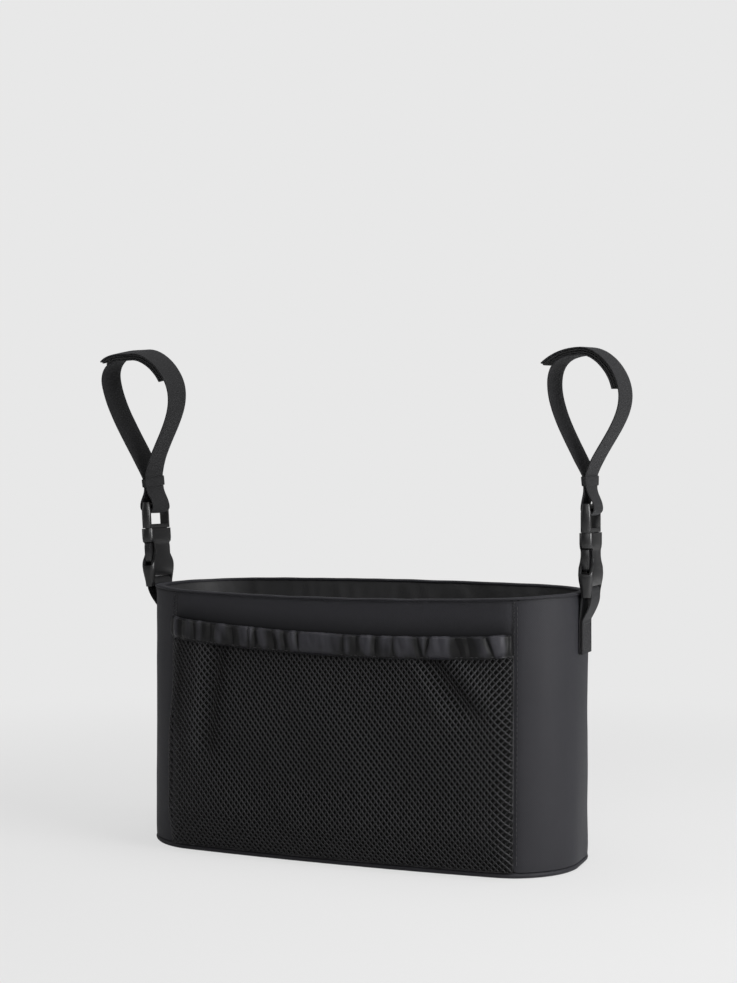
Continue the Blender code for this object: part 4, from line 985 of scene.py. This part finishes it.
for end_name, end in ENDS.items():
    inner = GAP + WEBBING_THICKNESS / 2
    outer = inner + WEBBING_THICKNESS + GAP
    bar_middle = Vector((end["outset"], BAR_HEIGHT))
    inner_bend = Vector((inner, TAB_SEAM_TOP))
    outer_bend = Vector((outer, TAB_SEAM_TOP + GAP))
    start = touch_angle(inner_bend, bar_middle, WRAP_RADIUS, -1) % (2 * math.pi)
    finish = touch_angle(outer_bend, bar_middle, WRAP_RADIUS, 1)
    tab_path = [Vector((inner, TAB_FOOT_HEIGHT)), inner_bend]
    for point in arc_points(bar_middle, WRAP_RADIUS, start, finish, TAB_TURN_STEPS):
        above = point.y - BAR_HEIGHT
        tab_path.append(Vector((point.x, BAR_HEIGHT + above * (TAB_CROWN if above > 0 else 1))))
    leaving = tab_path[-1]
    outwards = Vector((outer_bend.y - leaving.y, leaving.x - outer_bend.x)).normalized() * -TAB_SLACK
    for step in range(1, TAB_LEG_STEPS):
        share = step / TAB_LEG_STEPS
        tab_path.append(leaving.lerp(outer_bend, share) + outwards * math.sin(math.pi * share**0.7))
    tab_path += [outer_bend, Vector((outer, TAB_FOOT_HEIGHT))]

    def beside_wall(u, v, w, side=end["side"]):
        return Vector((side * (HALF_LENGTH + u), v, w))

    tab = ribbon(
        end_name + "_tab", tab_path, WEBBING_THICKNESS - 0.0001, WEBBING_WIDTH, beside_wall, rows=28
    )
    finish_mesh(tab, webbing_cloth, 50)
    belongs(tab, "bag", "webbing", end_name + "_anchor_tab")
    surface = outer + WEBBING_THICKNESS / 2
    half = WEBBING_WIDTH / 2 - BOX_SIDE_INSET
    low, high = TAB_FOOT_HEIGHT + BOX_FOOT_INSET, TAB_SEAM_TOP - BOX_HEAD_INSET
    corners = [(-half, low), (half, low), (half, high), (-half, high), (-half, low), (half, high)]
    corners += [(half, low), (-half, high)]
    box_stitches = []
    for here, there in zip(corners, corners[1:]):
        start_point = beside_wall(surface, *here)
        finish_point = beside_wall(surface, *there)
        count = max(2, round((finish_point - start_point).length / BOX_STITCH_PITCH))
        row = [start_point.lerp(finish_point, step / count) for step in range(count + 1)]
        box_stitches += sewn_row(row, [Vector((end["side"], 0, 0))] * len(row))
    tab_thread = sew(end_name + "_tab_thread", box_stitches)
    belongs(tab_thread, "bag", "webbing")

# Buckles: side-release buckles moulded in black acetal, a socket on each tab and a plug in it.
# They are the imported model's own solids with their moulded edges rounded.
PLASTIC_COLOUR = (0.0085, 0.0085, 0.0090)
MOULDED_EDGE = 0.0005
buckle_plastic, plastic_shader, add, connect, grain = grained(
    "buckle_plastic", "ShaderNodeTexNoise", 0.00003, {"Scale": 2200.0, "Detail": 3.0}
)
# Painted shade in the grain's hollows and a painted highlight on its crowns, over uneven tone.
plastic_tone_and_relief_shade = dye_and_relief_shade(add, grain, PLASTIC_COLOUR, 0.85, 1.15, 0.01)
connect(plastic_tone_and_relief_shade, plastic_shader.inputs["Base Color"])
polish = add("ShaderNodeMapRange", {0: grain, 3: 0.24, 4: 0.36})
connect(polish.outputs[0], plastic_shader.inputs["Roughness"])
for end_name in ENDS:
    for half_name, body in (("socket", "bag"), ("plug", end_name + "_plug")):
        node_name = end_name + "_buckle_" + half_name
        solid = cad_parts[node_name].data.copy()
        moulding = placed(end_name + "_" + half_name + "_moulding", solid)
        choose(moulding)
        bpy.ops.object.mode_set(mode="EDIT")
        bpy.ops.mesh.select_all(action="SELECT")
        bpy.ops.mesh.remove_doubles(threshold=0.00001)
        bpy.ops.mesh.dissolve_limited(angle_limit=math.radians(1.5))
        bpy.ops.object.mode_set(mode="OBJECT")
        apply_modifier(
            moulding, "BEVEL", width=MOULDED_EDGE, segments=2, limit_method="ANGLE",
            angle_limit=math.radians(35), use_clamp_overlap=True,
        )
        finish_mesh(moulding, buckle_plastic, 35)
        belongs(moulding, body, "buckle_plastic", node_name)

# Handlebar straps: one length of webbing, laid double round the plug's bar and closed into a loop.
# The outer layer carries the hook tape and closes on the pile tape of the inner one.
SOCKET_LENGTH = 0.0398
PLUG_HEAD_HEIGHT = 0.0192
KEEPER_BOTTOM = 0.0713
KEEPER_HEIGHT = 0.0065
KEEPER_THICKNESS = 0.0006
BAR_LOOP_HALF = 0.0052
BAR_LOOP_RISE = -0.0014
BAR_LOOP_SLACK = 0.0024
TAPE_WIDTH = 0.022
TAPE_COLOUR = (0.0125, 0.0125, 0.0132)
STRAP_PITCH = 0.0013
HOOK_THICKNESS = 0.0010
PILE_THICKNESS = 0.0012
TIP_DIP = math.radians(40)
LEG_HANDLE = 0.31
TOP_HANDLE = 0.50
FREE_HANDLE = 0.35
CORNER_HANDLE = 0.42
LEG_STEPS = 36
TOP_STEPS = 40
FREE_STEPS = 32
CORNER_STEPS = 28
BAR_LOOP_STEPS = 20
LEAVE_STEP = 12
PILE_CORNER_STEPS = 12
LEAN_START = 0.060
LEAN_END = 0.088
PLUG_BAR_HEIGHT = SOCKET_LENGTH + GAP + PLUG_HEAD_HEIGHT - BAR_RADIUS - GAP
LAYER_HALF = (WEBBING_THICKNESS + GAP) / 2
LAYER_SPACING = WEBBING_THICKNESS + HOOK_THICKNESS + PILE_THICKNESS + 3 * GAP
KEEPER_TOP = KEEPER_BOTTOM + KEEPER_HEIGHT


def bezier(start, start_handle, end_handle, end, steps):
    """Points along a smooth curve, without its first one."""
    points = []
    for step in range(1, steps + 1):
        share = step / steps
        rest = 1 - share
        first = rest**3 * start + 3 * rest**2 * share * start_handle
        points.append(first + 3 * rest * share**2 * end_handle + share**3 * end)
    return points


def heading(angle):
    """Direction of an angle."""
    return Vector((math.cos(angle), math.sin(angle)))


def shifted_path(path, distance):
    """The path moved sideways by a distance, to its left where the distance is positive."""
    moved = []
    for index, point in enumerate(path):
        ahead = path[min(index + 1, len(path) - 1)] - path[max(index - 1, 0)]
        moved.append(point + Vector((-ahead.y, ahead.x)).normalized() * distance)
    return moved


def loop_point(place):
    """A point of the loop's outline, measured from the middle of the keeper's top."""
    return Vector((place[0], KEEPER_TOP + place[1]))


def outer_layer(end):
    """Outer layer from the keeper up its leg, over the top and out to the free tip."""
    throat = loop_point((LAYER_HALF, 0))
    shoulder = loop_point(end["shoulder"])
    top = loop_point(end["top"])
    tip = loop_point(end["tip"])
    leg = LEG_HANDLE * (shoulder - throat).length
    leaving = throat + leg * heading(end["outer_leg"])
    path = [throat] + bezier(throat, leaving, shoulder - Vector((0, leg)), shoulder, LEG_STEPS)
    upwards = Vector((0, TOP_HANDLE * (top.y - shoulder.y)))
    sideways = Vector((TOP_HANDLE * (shoulder.x - top.x), 0))
    path += bezier(shoulder, shoulder + upwards, top + sideways, top, TOP_STEPS)
    flap = FREE_HANDLE * (tip - top).length
    return path + bezier(top, top - Vector((flap, 0)), tip + flap * heading(TIP_DIP), tip, FREE_STEPS)


def inner_layer(end):
    """Inner layer from its end under the outer layer, round the corner and down to the keeper."""
    last = LEG_STEPS + TOP_STEPS + LEAVE_STEP
    path = shifted_path(outer_layer(end), LAYER_SPACING)[LEG_STEPS + end["inner_end"] : last + 1]
    leave = path[-1]
    shoulder = loop_point(end["inner_shoulder"])
    throat = loop_point((-LAYER_HALF, 0))
    corner = CORNER_HANDLE * (shoulder - leave).length
    onwards = corner * (leave - path[-2]).normalized()
    path += bezier(leave, leave + onwards, shoulder + Vector((0, corner)), shoulder, CORNER_STEPS)
    leg = LEG_HANDLE * (shoulder - throat).length
    arriving = throat + leg * heading(math.pi - end["inner_leg"])
    return path + bezier(shoulder, shoulder - Vector((0, leg)), arriving, throat, LEG_STEPS)


def bar_loop(end):
    """The webbing's slack loop round the plug's bar, below the keeper."""
    foot = Vector((LAYER_HALF, KEEPER_BOTTOM))
    bottom = Vector((0, PLUG_BAR_HEIGHT - WRAP_RADIUS - BAR_LOOP_SLACK))
    legs = []
    for reach in (BAR_LOOP_HALF, end["inner_bulge"]):
        bulge = Vector((reach, PLUG_BAR_HEIGHT + BAR_LOOP_RISE))
        drop = Vector((0, CORNER_HANDLE * (foot.y - bulge.y)))
        sag = Vector((0, TOP_HANDLE * (bulge.y - bottom.y)))
        under = Vector((TOP_HANDLE * bulge.x, 0))
        leg = [foot] + bezier(foot, foot - drop, bulge + drop, bulge, BAR_LOOP_STEPS)
        legs.append(leg + bezier(bulge, bulge - sag, bottom + under, bottom, BAR_LOOP_STEPS))
    return legs[0] + [Vector((-point.x, point.y)) for point in legs[1][-2::-1]]


def tape_material(name, relief, scale, sheen):
    """Hook tape has coarse rows of hooks, and pile tape a fine fuzz."""
    material, shader, add, connect, cells = grained(name, "ShaderNodeTexVoronoi", relief, {"Scale": scale})
    connect(dye_and_relief_shade(add, cells, TAPE_COLOUR, 1.2, 0.8, 0.02), shader.inputs["Base Color"])
    shader.inputs["Roughness"].default_value = 0.85
    shader.inputs["Sheen Weight"].default_value = sheen
    return material


hook_tape_nylon = tape_material("hook_tape_nylon", 0.00012, 1800.0, 0.03)
pile_tape_nylon = tape_material("pile_tape_nylon", 0.00012, 2600.0, 0.05)
for end_name, end in ENDS.items():
    base = Vector((end["side"] * (HALF_LENGTH + end["outset"]), 0, BAR_HEIGHT))
    lean = Matrix.Rotation(end["lean"], 3, "Y")
    rise = LEAN_END - LEAN_START

    def in_loop(u, v, w, base=base, lean=lean, rise=rise, end=end):
        above = w - LEAN_START
        if above <= 0:
            return base + lean @ Vector((u, v, w))
        share = min(1.0, above / rise)
        u += end["sway"] * above
        turn = end["forward"] * share
        twist = end["twist"] * share
        across = u * math.cos(twist) - v * math.sin(twist)
        along = u * math.sin(twist) + v * math.cos(twist)
        beyond = max(0.0, above - rise)
        bend_radius = rise / end["forward"]
        depth = -bend_radius * (1 - math.cos(turn)) - beyond * math.sin(turn)
        height = LEAN_START + bend_radius * math.sin(turn) + beyond * math.cos(turn)
        local = Vector((across, depth + along * math.cos(turn), height + along * math.sin(turn)))
        return base + lean @ local

    outer_path = outer_layer(end)
    inner_path = inner_layer(end)
    path = outer_path[::-1] + bar_loop(end) + inner_path[::-1]
    strap = ribbon(
        end_name + "_strap", path, WEBBING_THICKNESS - 0.0001, WEBBING_WIDTH, in_loop, STRAP_PITCH
    )
    finish_mesh(strap, webbing_cloth, 50)
    belongs(strap, end_name + "_plug", "webbing", end_name + "_handle_strap")

    hook_setback = (WEBBING_THICKNESS + HOOK_THICKNESS + GAP) / 2
    hook_path = shifted_path(outer_path, hook_setback)[LEG_STEPS + end["inner_end"] :]
    pile_setback = (WEBBING_THICKNESS + PILE_THICKNESS + GAP) / 2
    covered = TOP_STEPS - end["inner_end"] + LEAVE_STEP + PILE_CORNER_STEPS + 1
    pile_path = shifted_path(inner_path, -pile_setback)[:covered]
    for tape_name, tape_path, thickness, nylon in (
        ("hook", hook_path, HOOK_THICKNESS + GAP, hook_tape_nylon),
        ("pile", pile_path, PILE_THICKNESS + GAP, pile_tape_nylon),
    ):
        full_name = end_name + "_" + tape_name
        tape = ribbon(full_name, tape_path, thickness, TAPE_WIDTH, in_loop, STRAP_PITCH)
        finish_mesh(tape, nylon, 50)
        belongs(tape, end_name + "_plug", "hook_and_pile", full_name + "_tape")

    half_thick = LAYER_HALF + WEBBING_THICKNESS / 2 + GAP + KEEPER_THICKNESS / 2
    half_wide = WEBBING_WIDTH / 2 + GAP + KEEPER_THICKNESS / 2

    def on_keeper(u, v, in_loop=in_loop, half_thick=half_thick, half_wide=half_wide):
        turn = 2 * math.pi * u
        section = 2 * math.pi * v
        out = KEEPER_THICKNESS / 2 * squared(math.cos(section), 0.6)
        up = KEEPER_HEIGHT / 2 * squared(math.sin(section), 0.35)
        x = squared(math.cos(turn), 0.25) * (half_thick + out)
        y = squared(math.sin(turn), 0.25) * (half_wide + out)
        return in_loop(x, y, KEEPER_BOTTOM + KEEPER_HEIGHT / 2 + up)

    keeper = laid_grid(
        end_name + "_keeper", 72, 16, on_keeper, (0.055, 0.019), round_columns=True, round_rows=True
    )
    finish_mesh(keeper, webbing_cloth, 50)
    belongs(keeper, end_name + "_plug", "webbing", end_name + "_strap_keeper")

# Studio: a plain pale floor that fades into an even pale background, and soft light from the right.
# The background is the floor's and the world's own colour, and the lamps are at a plain level.
BACKGROUND = (0.807, 0.807, 0.807, 1.0)
SKY_STRENGTH = 0.16
FADE_START = 0.28
FADE_END = 0.90
FADE_LEAST = 0.76
bpy.ops.object.select_all(action="DESELECT")
bpy.ops.mesh.primitive_plane_add(size=60, location=(0, 0, -0.0003))
floor = bpy.context.object
floor.name = "floor"
floor_paper, floor_shader, add, maths, connect = node_kit("floor_paper")
floor_shader.inputs["Base Color"].default_value = (0.80, 0.80, 0.80, 1.0)
floor_shader.inputs["Roughness"].default_value = 0.9
glow = add("ShaderNodeEmission", {"Color": BACKGROUND, "Strength": 1.0})
away = add("ShaderNodeVectorMath", {0: add("ShaderNodeTexCoord").outputs["Object"]}, operation="LENGTH")
faded = {0: away.outputs["Value"], 1: FADE_START, 2: FADE_END, 3: FADE_LEAST, 4: 1.0}
fade = add("ShaderNodeMapRange", faded)
fade.interpolation_type = "SMOOTHSTEP"
seen = maths("MULTIPLY", fade.outputs[0], add("ShaderNodeLightPath").outputs["Is Camera Ray"])
floor_mix = add("ShaderNodeMixShader", {0: seen, 1: floor_shader.outputs[0], 2: glow.outputs[0]})
connect(floor_mix.outputs[0], floor_paper.node_tree.nodes["Material Output"].inputs["Surface"])
floor.data.materials.append(floor_paper)

world = bpy.data.worlds.new("studio")
bpy.context.scene.world = world
world.use_nodes = True
nodes = world.node_tree.nodes
link = world.node_tree.links.new
sky = nodes["Background"]
sky.inputs[0].default_value = (1.0, 1.0, 1.0, 1.0)
sky.inputs[1].default_value = SKY_STRENGTH
shown = nodes.new("ShaderNodeBackground")
shown.inputs[0].default_value = BACKGROUND
choice = nodes.new("ShaderNodeMixShader")
link(nodes.new("ShaderNodeLightPath").outputs["Is Camera Ray"], choice.inputs[0])
link(sky.outputs[0], choice.inputs[1])
link(shown.outputs[0], choice.inputs[2])
link(choice.outputs[0], nodes["World Output"].inputs[0])

for lamp_name, spot, width, watts in (
    ("key", (1.35, -0.35, 0.65), 0.9, 24.0),
    ("front", (0.55, -1.8, 1.0), 1.2, 9.0),
    ("top", (0.1, 0.1, 1.8), 1.2, 11.0),
    ("left", (-1.8, -0.6, 0.7), 1.0, 4.0),
):
    bpy.ops.object.light_add(type="AREA", location=spot)
    lamp = bpy.context.object
    lamp.name = lamp_name
    lamp.data.energy = watts
    lamp.data.size = width
    aim = Vector((0, 0, 0.12)) - Vector(spot)
    lamp.rotation_euler = aim.to_track_quat("-Z", "Y").to_euler()

bpy.context.scene.view_settings.view_transform = "Standard"
